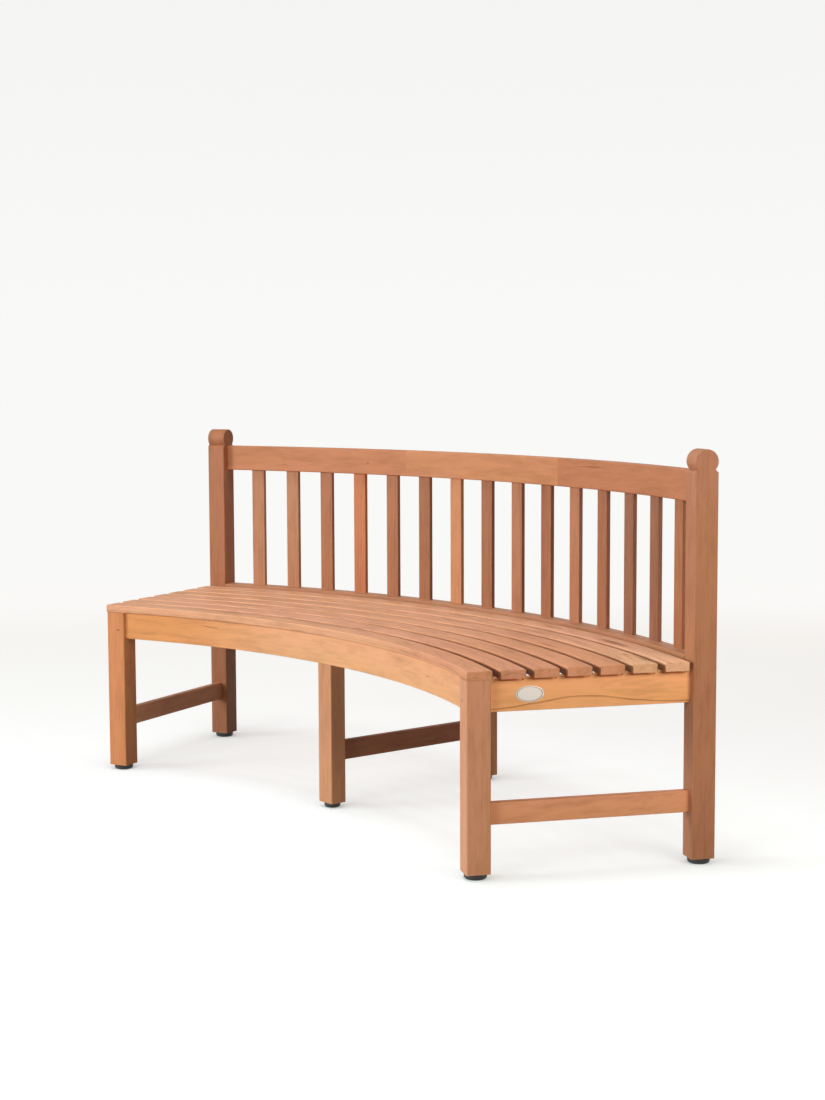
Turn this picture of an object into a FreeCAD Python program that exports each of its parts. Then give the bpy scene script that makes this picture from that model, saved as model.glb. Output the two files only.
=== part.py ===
import FreeCAD, Part
import math
import os
import Sketcher

# A teak garden bench whose plan is an arc. The sitters face the centre of the arc.
# Three frames stand radially under the seat: left, middle and right.
# The model frame: +X to the right as seen from the front, which is a sitter's left, +Y from the seat
# front to the back, +Z up, origin on the floor under the middle of the bench's box. Lengths are in
# millimetres and angles in degrees.
# Each frame has local axes of its own: local Y runs along the radius, local X along the bench.

V = FreeCAD.Vector
UP = V(0, 0, 1)
DOWN = V(0, 0, -1)

# Driving dimensions

DIMENSIONS = (
    # plan of the bench
    ("front_radius", 1753, "centre of the arc to the front faces of the end legs"),
    ("frame_depth", 564, "front of the front legs to the back of the rear posts"),
    ("frame_angle", 24.4, "line of symmetry to each end frame, in degrees"),
    # heights
    ("seat_height", 450, "floor to the top of the seat slats"),
    ("back_height", 860, "floor to the top of the back rail"),
    ("glide_height", 13, "floor to the bottom of the legs"),
    # legs and posts
    ("leg_size", 54, "side of the square legs and posts"),
    ("middle_leg_width", 54, "middle legs, along the bench"),
    ("middle_leg_depth", 44, "middle legs, along the radius"),
    ("leg_edge", 3, "eased edges of the legs"),
    # roll finial
    ("shoulder_drop", 3, "edge where the finial starts, below the top of the back rail"),
    ("finial_inset", 0.5, "the roll inside the post's faces"),
    ("finial_ledge", 7.5, "shoulder on each side of the neck under the roll"),
    ("finial_slope", 6, "rise of the sloping shoulder to the neck"),
    ("finial_edge", 1.5, "eased edges of the roll's ends"),
    # seat
    ("seat_slat_width", 57, "each curved slat, along the radius"),
    ("seat_slat_thickness", 20, "each curved slat"),
    ("seat_rear_gap", 9, "between the last slat and the posts; the slats share out the rest"),
    ("seat_slat_edge", 3, "round long edges of a slat"),
    ("seat_slat_end_edge", 1.5, "eased ends of a slat"),
    ("seat_slat_overhang", 2, "slat ends past the outer faces of the legs"),
    # rails under the seat
    ("apron_thickness", 24, "front and rear aprons"),
    ("apron_height", 70, "front and rear aprons"),
    ("apron_setback", 8, "apron face behind the leg face"),
    ("side_rail_thickness", 20, "side rails and the middle cross rail"),
    ("side_rail_height", 72, "side rails and the middle cross rail"),
    ("relief_height", 6.5, "shallow recess in a side rail under each slat"),
    ("relief_depth", 5, "the same recess, into the rail"),
    ("relief_corner", 4, "round corners at the foot of each tooth"),
    ("relief_margin", 0.5, "recess past each edge of its slat"),
    ("stretcher_thickness", 20, "stretchers"),
    ("stretcher_height", 48, "stretchers"),
    ("stretcher_rise", 115.5, "floor to the bottom of the stretchers"),
    ("rail_edge", 2, "eased edges of rails and stretchers"),
    # back
    ("back_rail_height", 70, "top back rail"),
    ("back_rail_thickness", 28, "top back rail"),
    ("back_rail_setback", 20, "top rail face behind the post face"),
    ("back_rail_edge", 3, "eased edges of the top rail"),
    ("lower_rail_height", 27, "lower back rail"),
    ("back_slat_width", 42, "upright slats"),
    ("back_slat_thickness", 11, "upright slats"),
    ("back_slat_edge", 1.5, "eased edges of the upright slats"),
    ("back_slat_housing", 12, "slat ends let into the rails"),
    # tenons
    ("tenon_thickness", 10, "tenons of aprons, rails and stretchers"),
    ("tenon_shoulder", 10, "rail above and below a tenon"),
    ("tenon_length", 30, "apron and back rail tenons"),
    ("stretcher_tenon", 25, "stretcher tenons"),
    ("middle_tenon", 15, "tenons in the thin tops of the middle legs"),
    ("tenon_wall", 4, "wood between two tenons that meet in one leg"),
    ("lower_tenon_thickness", 20, "tenons of the lower back rail, along the radius"),
    ("lower_tenon_shoulder", 6, "lower back rail above and below its tenons"),
    ("joint_clearance", 0.2, "around a tenon or a dowel in its hole"),
    ("mortise_relief", 1, "mortises and holes deeper than what they hold"),
    # pegs and dowels
    ("peg_diameter", 6, "draw-bore pegs through the apron tenons"),
    ("peg_from_side", 19, "peg centre from the inner side of a leg"),
    ("peg_drop", 47, "peg centre below the slats"),
    ("peg_past_tenon", 2, "peg into the leg behind the tenon"),
    ("dowel_diameter", 8, "all dowels"),
    ("seat_dowel_in_slat", 10, "seat dowels, up into a slat"),
    ("seat_dowel_in_rail", 18, "seat dowels, down into a rail or leg"),
    ("front_dowel_offset", 14, "front slat's dowels beside the frame's middle"),
    ("apron_dowel_length", 30, "dowels between a middle leg and its apron"),
    ("apron_dowel_offset", 16, "the same dowels beside the frame's middle"),
    ("rail_dowel_length", 60, "dowels across a joint of the top rail"),
    ("rail_dowel_inset", 18, "the same dowels from the rail's top and bottom"),
    # glides
    ("glide_diameter", 50, "glides of the end frames"),
    ("middle_glide_diameter", 40, "glides of the middle legs"),
    ("glide_flange", 8, "straight rim of a glide"),
    ("glide_sole_inset", 7, "edge of the flat sole inside the rim, with a rounding between them"),
    ("glide_stem_diameter", 8, "stem up into the leg"),
    ("glide_stem_length", 20, "stem up into the leg"),
    # badge
    ("badge_width", 64, "oval plate on the right side rail"),
    ("badge_height", 35, "oval plate on the right side rail"),
    ("badge_thickness", 2, "oval plate on the right side rail"),
    ("badge_from_leg", 90, "plate's middle behind the front leg"),
    ("badge_stud_diameter", 4, "two studs behind the plate"),
    ("badge_stud_length", 8, "two studs behind the plate"),
    ("badge_stud_spacing", 40, "two studs behind the plate"),
)

# The top rail has three segments with five upright slats each
RAIL_SEGMENTS = 3
SLATS_PER_SEGMENT = 5
BACK_SLATS = RAIL_SEGMENTS * SLATS_PER_SEGMENT
SEAT_SLATS = 7
LEFT, MIDDLE, RIGHT = -1, 0, 1
SIDE_NAMES = {LEFT: "left", MIDDLE: "middle", RIGHT: "right"}

# Lengths that tell an edge by its size and place
SAME_PLACE = 0.01
SHORT_EDGE = 1
LONG_ARC = 100

doc = FreeCAD.newDocument("curved_bench")
sheet = doc.addObject("Spreadsheet::Sheet", "sizes")
for row, (alias, number, note) in enumerate(DIMENSIONS, start=1):
    sheet.set("A%d" % row, alias.replace("_", " "))
    sheet.set("B%d" % row, str(number))
    sheet.setAlias("B%d" % row, alias)
    sheet.set("C%d" % row, note)
doc.recompute()


class Size:
    """A number and the formula in the sheet's names that it comes from."""

    def __init__(self, number, formula):
        self.number = float(number)
        self.formula = formula

    def combine(self, other, sign, number, turned=False):
        formulas = [self.formula, as_size(other).formula]
        if turned:
            formulas.reverse()
        return Size(number, "(%s %s %s)" % (formulas[0], sign, formulas[1]))

    def __add__(self, other):
        return self.combine(other, "+", self.number + as_size(other).number)

    def __radd__(self, other):
        return self.combine(other, "+", as_size(other).number + self.number, turned=True)

    def __sub__(self, other):
        return self.combine(other, "-", self.number - as_size(other).number)

    def __rsub__(self, other):
        return self.combine(other, "-", as_size(other).number - self.number, turned=True)

    def __mul__(self, other):
        return self.combine(other, "*", self.number * as_size(other).number)

    def __rmul__(self, other):
        return self.combine(other, "*", as_size(other).number * self.number, turned=True)

    def __truediv__(self, other):
        return self.combine(other, "/", self.number / as_size(other).number)

    def __neg__(self):
        return 0 - self


def as_size(thing):
    if isinstance(thing, Size):
        return thing
    return Size(thing, "%g" % thing if thing >= 0 else "(0 - %g)" % -thing)


def sine(angle):
    angle = as_size(angle)
    return Size(math.sin(math.radians(angle.number)), "sin(%s)" % angle.formula)


def cosine(angle):
    angle = as_size(angle)
    return Size(math.cos(math.radians(angle.number)), "cos(%s)" % angle.formula)


def arc_sine(ratio):
    return Size(math.degrees(math.asin(ratio.number)), "(asin(%s) / 1 deg)" % ratio.formula)


def root(area):
    return Size(math.sqrt(area.number), "sqrt(%s)" % area.formula)


def named(alias):
    return Size(sheet.get(alias), "sizes.%s" % alias)


def bind(thing, prop, size):
    """Set a property and tie it to the sheet."""
    size = as_size(size)
    if "." not in prop:
        setattr(thing, prop, size.number)
    thing.setExpression(prop, size.formula)


# Named sizes

front_radius = named("front_radius")
frame_angle = named("frame_angle")
leg_size = named("leg_size")
middle_leg_width = named("middle_leg_width")
middle_leg_depth = named("middle_leg_depth")
seat_slat_width = named("seat_slat_width")
seat_slat_thickness = named("seat_slat_thickness")
apron_thickness = named("apron_thickness")
apron_height = named("apron_height")
apron_setback = named("apron_setback")
side_rail_thickness = named("side_rail_thickness")
side_rail_height = named("side_rail_height")
stretcher_height = named("stretcher_height")
back_rail_height = named("back_rail_height")
back_rail_thickness = named("back_rail_thickness")
lower_rail_height = named("lower_rail_height")
back_slat_width = named("back_slat_width")
back_slat_thickness = named("back_slat_thickness")
tenon_thickness = named("tenon_thickness")
tenon_shoulder = named("tenon_shoulder")
tenon_length = named("tenon_length")
joint_clearance = named("joint_clearance")
mortise_relief = named("mortise_relief")
dowel_diameter = named("dowel_diameter")
glide_height = named("glide_height")
rail_edge = named("rail_edge")

# Places along the radius
half_leg = leg_size / 2
leg_back = front_radius + leg_size
post_back = front_radius + named("frame_depth")
post_front = post_back - leg_size
post_middle = post_back - half_leg
apron_front = front_radius + apron_setback
apron_back = apron_front + apron_thickness
apron_middle = apron_front + apron_thickness / 2
rear_apron_back = post_back - apron_setback
rear_apron_front = rear_apron_back - apron_thickness
rear_apron_middle = rear_apron_back - apron_thickness / 2
back_rail_front = post_front + named("back_rail_setback")
back_rail_back = back_rail_front + back_rail_thickness
slat_radius = back_rail_front + back_rail_thickness / 2
lower_rail_middle = (post_front + rear_apron_back) / 2

# The seat slats are spaced evenly between the front legs' faces and the posts
seat_depth = post_front - named("seat_rear_gap") - front_radius
seat_slat_gap = (seat_depth - SEAT_SLATS * seat_slat_width) / (SEAT_SLATS - 1)
seat_slat_pitch = seat_slat_width + seat_slat_gap

# Places in height
seat_base = named("seat_height") - seat_slat_thickness
apron_bottom = seat_base - apron_height
side_rail_bottom = seat_base - side_rail_height
lower_rail_top = seat_base + lower_rail_height
back_rail_top = named("back_height")
back_rail_bottom = back_rail_top - back_rail_height
stretcher_rise = named("stretcher_rise")

# Upright slats stand evenly between the posts, with a gap beside each post too
post_side_angle = frame_angle - arc_sine(half_leg / slat_radius)
slat_angle = back_slat_width / slat_radius * 180 / Size(math.pi, "pi")
slat_pitch = (2 * post_side_angle + slat_angle) / (BACK_SLATS + 1)
joint_angle = slat_pitch * SLATS_PER_SEGMENT / 2

# The floor origin lies in the middle of the bench's box; the arc's centre is in front of it. The box
# ends at the rounded front corners of the first seat slat and at the middle of the top rail's back.
corner_round = named("seat_slat_end_edge")
corner_across = half_leg + named("seat_slat_overhang") - corner_round
corner_radius = front_radius + corner_round
corner_along = root(corner_radius * corner_radius - corner_across * corner_across)
front_extent = corner_along * cosine(frame_angle) - corner_across * sine(frame_angle) - corner_round
arc_centre = (front_extent + back_rail_back) / 2


# Helpers for bodies, sketches and features

def new_body(label, rise=0, angle=0, side=MIDDLE):
    """A body whose axes start at the arc's centre, turned to its frame and raised to its place."""
    body = doc.addObject("PartDesign::Body", label)
    body.Label = label
    turn = FreeCAD.Rotation(DOWN if side >= 0 else UP, as_size(angle).number if side else 0)
    body.Placement = FreeCAD.Placement(V(0, -arc_centre.number, as_size(rise).number), turn)
    bind(body, "Placement.Base.y", 0 - arc_centre)
    bind(body, "Placement.Base.z", rise)
    if side:
        bind(body, "Placement.Rotation.Angle", angle)
    return body


def frame_body(label, side, rise=0):
    return new_body(label, rise, frame_angle, side)


def origin_part(body, role):
    return [part for part in body.Origin.OriginFeatures if part.Role == role][0]


def new_sketch(body, label, plane):
    sketch = body.newObject("Sketcher::SketchObject", label)
    sketch.AttachmentSupport = [(origin_part(body, plane), "")]
    sketch.MapMode = "FlatFace"
    return sketch


def rule(sketch, label, size, kind, *where):
    """Add a dimension to a sketch and tie it to the sheet."""
    size = as_size(size)
    value = math.radians(size.number) if kind == "Angle" else size.number
    number = sketch.addConstraint(Sketcher.Constraint(kind, *where, value))
    sketch.renameConstraint(number, label)
    sketch.setExpression("Constraints.%s" % label, size.formula)


def join_ends(sketch, *pairs):
    for pair in pairs:
        sketch.addConstraint(Sketcher.Constraint("Coincident", *pair))


def block_sketch(body, label, width, near, far):
    """A rectangle centred on local Y, from the radius near to the radius far."""
    sketch = new_sketch(body, label, "XY_Plane")
    half = as_size(width).number / 2
    low, high = as_size(near).number, as_size(far).number
    corners = [V(-half, low, 0), V(half, low, 0), V(half, high, 0), V(-half, high, 0)]
    for place in range(4):
        sketch.addGeometry(Part.LineSegment(corners[place], corners[(place + 1) % 4]))
    join_ends(sketch, (0, 2, 1, 1), (1, 2, 2, 1), (2, 2, 3, 1), (3, 2, 0, 1))
    for line, direction in ((1, "Vertical"), (2, "Horizontal"), (3, "Vertical")):
        sketch.addConstraint(Sketcher.Constraint(direction, line))
    sketch.addConstraint(Sketcher.Constraint("Symmetric", 0, 1, 0, 2, -2))
    rule(sketch, "width", width, "DistanceX", 0, 1, 0, 2)
    rule(sketch, "near", near, "DistanceY", -1, 1, 0, 1)
    rule(sketch, "depth", as_size(far) - near, "DistanceY", 1, 1, 1, 2)
    return sketch


def pad(body, label, sketch, length, both_ways=False):
    feature = body.newObject("PartDesign::Pad", label)
    feature.Profile = sketch
    if both_ways:
        feature.SideType = "Symmetric"
    bind(feature, "Length", length)
    doc.recompute()
    return feature


def block(body, width, near, far, height):
    """The plain stick that a leg, rail or slat starts from."""
    return pad(body, body.Label + "_pad", block_sketch(body, body.Label + "_plan", width, near, far), height)


def edges_where(feature, test):
    return ["Edge%d" % number for number, edge in enumerate(feature.Shape.Edges, start=1) if test(edge)]


def is_upright(edge):
    first, last = edge.Vertexes[0].Point, edge.Vertexes[-1].Point
    return abs(first.z - last.z) > SHORT_EDGE and math.hypot(first.x - last.x, first.y - last.y) < SAME_PLACE


def is_lengthwise(edge):
    """Runs along local Y, as the long edges of rails and stretchers do."""
    first, last = edge.Vertexes[0].Point, edge.Vertexes[-1].Point
    return abs(first.y - last.y) > SHORT_EDGE and math.hypot(first.x - last.x, first.z - last.z) < SAME_PLACE


def is_arc(edge):
    return isinstance(edge.Curve, Part.Circle) and edge.Length > LONG_ARC


def round_edges(body, label, feature, test, radius):
    rounded = body.newObject("PartDesign::Fillet", label)
    rounded.Base = (feature, edges_where(feature, test))
    bind(rounded, "Radius", radius)
    doc.recompute()
    return rounded


def box(body, label, cut, size, corner, side=MIDDLE, angle=0):
    """A box added to or cut from a body. The corner is its least x, y and z before it is turned."""
    kind = "PartDesign::SubtractiveBox" if cut else "PartDesign::AdditiveBox"
    feature = body.newObject(kind, label)
    for prop, length in zip(("Length", "Width", "Height"), size):
        bind(feature, prop, length)
    across, along, rise = corner
    if side:
        turned = frame_angle if angle == 0 else angle
        place = [side * sine(turned) * along + cosine(turned) * across,
                 cosine(turned) * along - side * sine(turned) * across, as_size(rise)]
        turn = FreeCAD.Rotation(DOWN if side > 0 else UP, as_size(turned).number)
    else:
        place = [as_size(across), as_size(along), as_size(rise)]
        turn = FreeCAD.Rotation()
    feature.Placement = FreeCAD.Placement(V(*[length.number for length in place]), turn)
    for axis, length in zip("xyz", place):
        bind(feature, "Placement.Base." + axis, length)
    if side:
        bind(feature, "Placement.Rotation.Angle", turned)
    return feature


def grown(size, corner, amount):
    """A mortise: the tenon's box with clearance all round."""
    return [length + 2 * amount for length in size], [place - amount for place in corner]


def round_hole(body, label, diameter, depth, start, axis):
    """A round hole from the point start along an axis of the body."""
    feature = body.newObject("PartDesign::SubtractiveCylinder", label)
    bind(feature, "Radius", diameter / 2)
    bind(feature, "Height", depth)
    feature.Placement = FreeCAD.Placement(V(*[as_size(length).number for length in start]),
                                          FreeCAD.Rotation(UP, axis))
    for letter, length in zip("xyz", start):
        bind(feature, "Placement.Base." + letter, length)
    return feature


def frame_point(side, across, along):
    """Where a point of a frame lies, in axes that start at the arc's centre."""
    if side == MIDDLE:
        return as_size(across), as_size(along)
    return (side * sine(frame_angle) * along + cosine(frame_angle) * across,
            cosine(frame_angle) * along - side * sine(frame_angle) * across)


# Tenons, each given as the size and the least corner of its box in a frame's axes

TENON_DEPTH_LIMIT = leg_back - (apron_middle + tenon_thickness / 2 + named("tenon_wall"))
POST_DEPTH_LIMIT = rear_apron_middle - tenon_thickness / 2 - named("tenon_wall") - post_front


def cross_tenon(side, middle, thickness, bottom, height, length=tenon_length):
    """A tenon of an apron or back rail: it enters a leg or post from its inner side."""
    start = 0 - half_leg if side == RIGHT else half_leg - length
    return [length, thickness, height], [start, middle - thickness / 2, bottom]


def apron_tenon(side, middle):
    return cross_tenon(side, middle, tenon_thickness, apron_bottom + tenon_shoulder,
                       apron_height - 2 * tenon_shoulder)


def back_rail_tenon(side):
    return cross_tenon(side, slat_radius, tenon_thickness, back_rail_bottom + tenon_shoulder,
                       back_rail_height - 2 * tenon_shoulder)


def lower_rail_tenon(side):
    shoulder = named("lower_tenon_shoulder")
    return cross_tenon(side, lower_rail_middle, named("lower_tenon_thickness"), seat_base + shoulder,
                       lower_rail_height - 2 * shoulder)


def radial_tenon(near, far, bottom, height):
    """A tenon of a side rail or stretcher: it lies in the middle plane of its frame."""
    return [tenon_thickness, far - near, height], [0 - tenon_thickness / 2, near, bottom]


def rail_tenons(middle_frame):
    front = named("middle_tenon") if middle_frame else TENON_DEPTH_LIMIT
    rear = named("middle_tenon") if middle_frame else POST_DEPTH_LIMIT
    bottom = side_rail_bottom + tenon_shoulder
    height = side_rail_height - 2 * tenon_shoulder
    return (radial_tenon(leg_back - front, leg_back, bottom, height),
            radial_tenon(post_front, post_front + rear, bottom, height))


def stretcher_tenons():
    length = named("stretcher_tenon")
    bottom = stretcher_rise + tenon_shoulder
    height = stretcher_height - 2 * tenon_shoulder
    return (radial_tenon(leg_back - length, leg_back, bottom, height),
            radial_tenon(post_front, post_front + length, bottom, height))


def lowered(place, rise):
    """The same corner seen from a body that starts at the height rise."""
    return [place[0], place[1], place[2] - rise]


def cut_mortises(body, rise, tenons):
    for number, (size, corner) in enumerate(tenons, start=1):
        size, corner = grown(size, lowered(corner, rise), joint_clearance)
        box(body, "%s_mortise_%d" % (body.Label, number), True, size, corner)


def add_tenons(body, rise, tenons, side=MIDDLE):
    for number, (size, corner) in enumerate(tenons, start=1):
        name = "%s_tenon_%s%d" % (body.Label, SIDE_NAMES[side], number)
        box(body, name, False, size, lowered(corner, rise), side)


# Seat dowels: one in each slat at each frame

def seat_slat_inner(number):
    return front_radius + (number - 1) * seat_slat_pitch


def seat_dowel_place(side, number):
    """Local X and Y of a seat dowel. The front slat's dowels stand beside the rails' tenons."""
    if number == 1:
        offset = named("front_dowel_offset")
        return (0 - offset if side == LEFT else offset), (apron_back + leg_back) / 2
    return as_size(0), seat_slat_inner(number) + seat_slat_width / 2


hole_diameter = dowel_diameter + joint_clearance
seat_dowel_in_rail = named("seat_dowel_in_rail")
seat_dowel_in_slat = named("seat_dowel_in_slat")


def drill_down_from_seat(body, rise, side, numbers):
    depth = seat_dowel_in_rail + mortise_relief
    for number in numbers:
        across, along = seat_dowel_place(side, number)
        start = (across, along, seat_base - depth - rise)
        round_hole(body, "%s_dowel_hole_%d" % (body.Label, number), hole_diameter, depth, start, UP)


# Glides and their holes

def drill_glide_hole(body, middle):
    depth = named("glide_stem_length") + mortise_relief
    diameter = named("glide_stem_diameter") + joint_clearance
    round_hole(body, body.Label + "_glide_hole", diameter, depth, (0, middle, 0), UP)


# How far the drawn rounding first bulges, before the sole's line rules it
GLIDE_BULGE = 0.16


def glide(label, side, middle, diameter):
    """A round foot: flat sole, rounded edge, straight rim and stem, turned about its own upright axis."""
    x, y = frame_point(side, 0, middle)
    body = doc.addObject("PartDesign::Body", label)
    body.Label = label
    body.Placement.Base = V(x.number, (y - arc_centre).number, 0)
    bind(body, "Placement.Base.x", x)
    bind(body, "Placement.Base.y", y - arc_centre)
    rim = diameter / 2
    sole = rim - named("glide_sole_inset")
    rounded = glide_height - named("glide_flange")
    stem = named("glide_stem_diameter") / 2
    top = glide_height + named("glide_stem_length")
    outline = [(0, 0), (sole, 0), (rim, rounded), (rim, glide_height), (stem, glide_height), (stem, top),
               (0, top)]
    points = [V(as_size(across).number, as_size(up).number, 0) for across, up in outline]
    sketch = new_sketch(body, label + "_profile", "XZ_Plane")
    for line in range(len(points)):
        start, end = points[line], points[(line + 1) % len(points)]
        if line == 1:
            bulge = V(end.y, start.x - end.x, 0) * GLIDE_BULGE
            sketch.addGeometry(Part.Arc(start, (start + end) * 0.5 + bulge, end))
        else:
            sketch.addGeometry(Part.LineSegment(start, end))
    sketch.addConstraint(Sketcher.Constraint("Tangent", 0, 2, 1, 1))
    join_ends(sketch, *[(line, 2, (line + 1) % len(points), 1) for line in range(1, len(points))])
    for line, direction in ((0, "Horizontal"), (2, "Vertical"), (3, "Horizontal"), (4, "Vertical"),
                            (5, "Horizontal")):
        sketch.addConstraint(Sketcher.Constraint(direction, line))
    join_ends(sketch, (0, 1, -1, 1))
    sketch.addConstraint(Sketcher.Constraint("PointOnObject", 6, 1, -2))
    rule(sketch, "sole", sole, "DistanceX", 0, 1, 0, 2)
    rule(sketch, "rim", rim, "DistanceX", -1, 1, 2, 1)
    rule(sketch, "rounded", rounded, "DistanceY", -1, 1, 2, 1)
    rule(sketch, "flange", glide_height, "DistanceY", -1, 1, 2, 2)
    rule(sketch, "stem", stem, "DistanceX", -1, 1, 4, 1)
    rule(sketch, "top", top, "DistanceY", -1, 1, 4, 2)
    turned = body.newObject("PartDesign::Revolution", label + "_turned")
    turned.Profile = sketch
    turned.ReferenceAxis = (origin_part(body, "Z_Axis"), [""])
    turned.Angle = 360
    doc.recompute()
    return body


# Legs and posts

def front_leg(side):
    label = "front_leg_" + SIDE_NAMES[side]
    body = frame_body(label, side, glide_height)
    stick = block(body, leg_size, front_radius, leg_back, seat_base - glide_height)
    round_edges(body, label + "_eased", stick, is_upright, named("leg_edge"))
    tenons = [apron_tenon(side, apron_middle), rail_tenons(False)[0], stretcher_tenons()[0]]
    cut_mortises(body, glide_height, tenons)
    across, drop = peg_place(side)
    round_hole(body, label + "_peg_hole", peg_diameter + joint_clearance, peg_length() + mortise_relief,
               (across, front_radius, drop - glide_height), V(0, 1, 0))
    drill_down_from_seat(body, glide_height, side, [1])
    drill_glide_hole(body, front_radius + half_leg)
    return body


def rear_post(side):
    """A post and its roll finial, sawn from one stick by its side profile."""
    label = "rear_post_" + SIDE_NAMES[side]
    body = frame_body(label, side, glide_height)
    shoulder = back_rail_top - named("shoulder_drop") - glide_height
    neck = half_leg - named("finial_ledge")
    neck_height = shoulder + named("finial_slope")
    radius = half_leg - named("finial_inset")
    roll_middle = neck_height + root(radius * radius - neck * neck)
    middle = post_middle.number
    outline = [V(post_front.number, 0, 0), V(post_back.number, 0, 0), V(post_back.number, shoulder.number, 0),
               V(middle + neck.number, neck_height.number, 0), V(middle - neck.number, neck_height.number, 0),
               V(post_front.number, shoulder.number, 0)]
    sketch = new_sketch(body, label + "_profile", "YZ_Plane")
    for number in range(6):
        start, end = outline[number], outline[(number + 1) % 6]
        if number == 3:
            crown = V(middle, roll_middle.number + radius.number, 0)
            sketch.addGeometry(Part.Arc(start, crown, end))
        else:
            sketch.addGeometry(Part.LineSegment(start, end))
    join_ends(sketch, (0, 2, 1, 1), (1, 2, 2, 1), (2, 2, 3, 1), (3, 2, 4, 1), (4, 2, 5, 1), (5, 2, 0, 1))
    for end in (1, 2):
        sketch.addConstraint(Sketcher.Constraint("PointOnObject", 0, end, -1))
    for line in (1, 5):
        sketch.addConstraint(Sketcher.Constraint("Vertical", line))
    sketch.addConstraint(Sketcher.Constraint("Horizontal", 1, 2, 5, 1))
    sketch.addConstraint(Sketcher.Constraint("Horizontal", 3, 1, 3, 2))
    rule(sketch, "front", post_front, "DistanceX", -1, 1, 0, 1)
    rule(sketch, "depth", leg_size, "DistanceX", 0, 1, 0, 2)
    rule(sketch, "shoulder", shoulder, "DistanceY", -1, 1, 1, 2)
    rule(sketch, "slope", named("finial_slope"), "DistanceY", 1, 2, 3, 1)
    rule(sketch, "neck", neck * 2, "DistanceX", 3, 2, 3, 1)
    rule(sketch, "roll", radius, "Radius", 3)
    rule(sketch, "middle", post_middle, "DistanceX", -1, 1, 3, 3)
    stick = pad(body, label + "_pad", sketch, leg_size, both_ways=True)
    eased = round_edges(body, label + "_eased", stick, is_upright, named("leg_edge"))
    round_edges(body, label + "_roll_eased", eased, is_roll_end, named("finial_edge"))
    tenons = [apron_tenon(side, rear_apron_middle), rail_tenons(False)[1], stretcher_tenons()[1],
              lower_rail_tenon(side), back_rail_tenon(side)]
    cut_mortises(body, glide_height, tenons)
    drill_glide_hole(body, post_middle)
    return body


def is_roll_end(edge):
    """The long arc at either end of the roll."""
    if not isinstance(edge.Curve, Part.Circle):
        return False
    return abs(edge.Curve.Axis.x) > 0.99 and edge.Length > edge.Curve.Radius


def middle_leg(front):
    """A thinner leg, notched for its curved apron."""
    label = "front_leg_middle" if front else "rear_leg_middle"
    near = leg_back - middle_leg_depth if front else post_front
    far = leg_back if front else post_front + middle_leg_depth
    body = frame_body(label, MIDDLE, glide_height)
    stick = block(body, middle_leg_width, near, far, seat_base - glide_height)
    round_edges(body, label + "_eased", stick, is_upright, named("leg_edge"))
    notch_face = apron_back if front else rear_apron_front - joint_clearance
    start = near - mortise_relief if front else notch_face
    length = notch_face - near + mortise_relief if front else far - notch_face + mortise_relief
    spare = mortise_relief
    box(body, label + "_notch", True,
        [middle_leg_width + 2 * spare, length, apron_height + spare],
        [0 - middle_leg_width / 2 - spare, start, apron_bottom - glide_height])
    end = 0 if front else 1
    cut_mortises(body, glide_height, [rail_tenons(True)[end], stretcher_tenons()[end]])
    drill_for_apron_dowels(body, glide_height, front)
    if front:
        drill_down_from_seat(body, glide_height, MIDDLE, [1])
    drill_glide_hole(body, (near + far) / 2)
    return body


# Apron dowels at the middle legs, level with the middle of the aprons

apron_dowel_height = seat_base - apron_height / 2


def apron_dowel_start(front):
    """Radius where a dowel starts. Half of each dowel is in the leg and half in the apron."""
    face = apron_back if front else rear_apron_front
    return face - named("apron_dowel_length") / 2


def drill_for_apron_dowels(body, rise, front):
    length = named("apron_dowel_length") + 2 * joint_clearance
    for number, sign in enumerate((-1, 1), start=1):
        start = (sign * named("apron_dowel_offset"), apron_dowel_start(front) - joint_clearance,
                 apron_dowel_height - rise)
        round_hole(body, "%s_apron_dowel_hole_%d" % (body.Label, number), hole_diameter, length, start,
                   V(0, 1, 0))


# Pegs through the apron tenons

peg_diameter = named("peg_diameter")


def peg_place(side):
    from_middle = half_leg - named("peg_from_side")
    return (0 - from_middle if side == RIGHT else from_middle), seat_base - named("peg_drop")


def peg_length():
    return apron_middle + tenon_thickness / 2 + named("peg_past_tenon") - front_radius


# Rails and stretchers of a frame

def side_rail(side):
    """The rail that carries the slat ends. Its outer top edge is relieved under each slat."""
    label = "cross_rail_middle" if side == MIDDLE else "side_rail_" + SIDE_NAMES[side]
    body = frame_body(label, side, side_rail_bottom)
    stick = block(body, side_rail_thickness, leg_back, post_front, side_rail_height)
    round_edges(body, label + "_eased", stick, is_low_lengthwise, rail_edge)
    add_tenons(body, side_rail_bottom, rail_tenons(side == MIDDLE))
    if side != MIDDLE:
        relieve_under_slats(body, side)
    drill_down_from_seat(body, side_rail_bottom, side, range(2, SEAT_SLATS + 1))
    if side == RIGHT:
        drill_for_badge(body)
    return body


def is_low_lengthwise(edge):
    return is_lengthwise(edge) and abs(edge.Vertexes[0].Point.z) < SAME_PLACE


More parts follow.
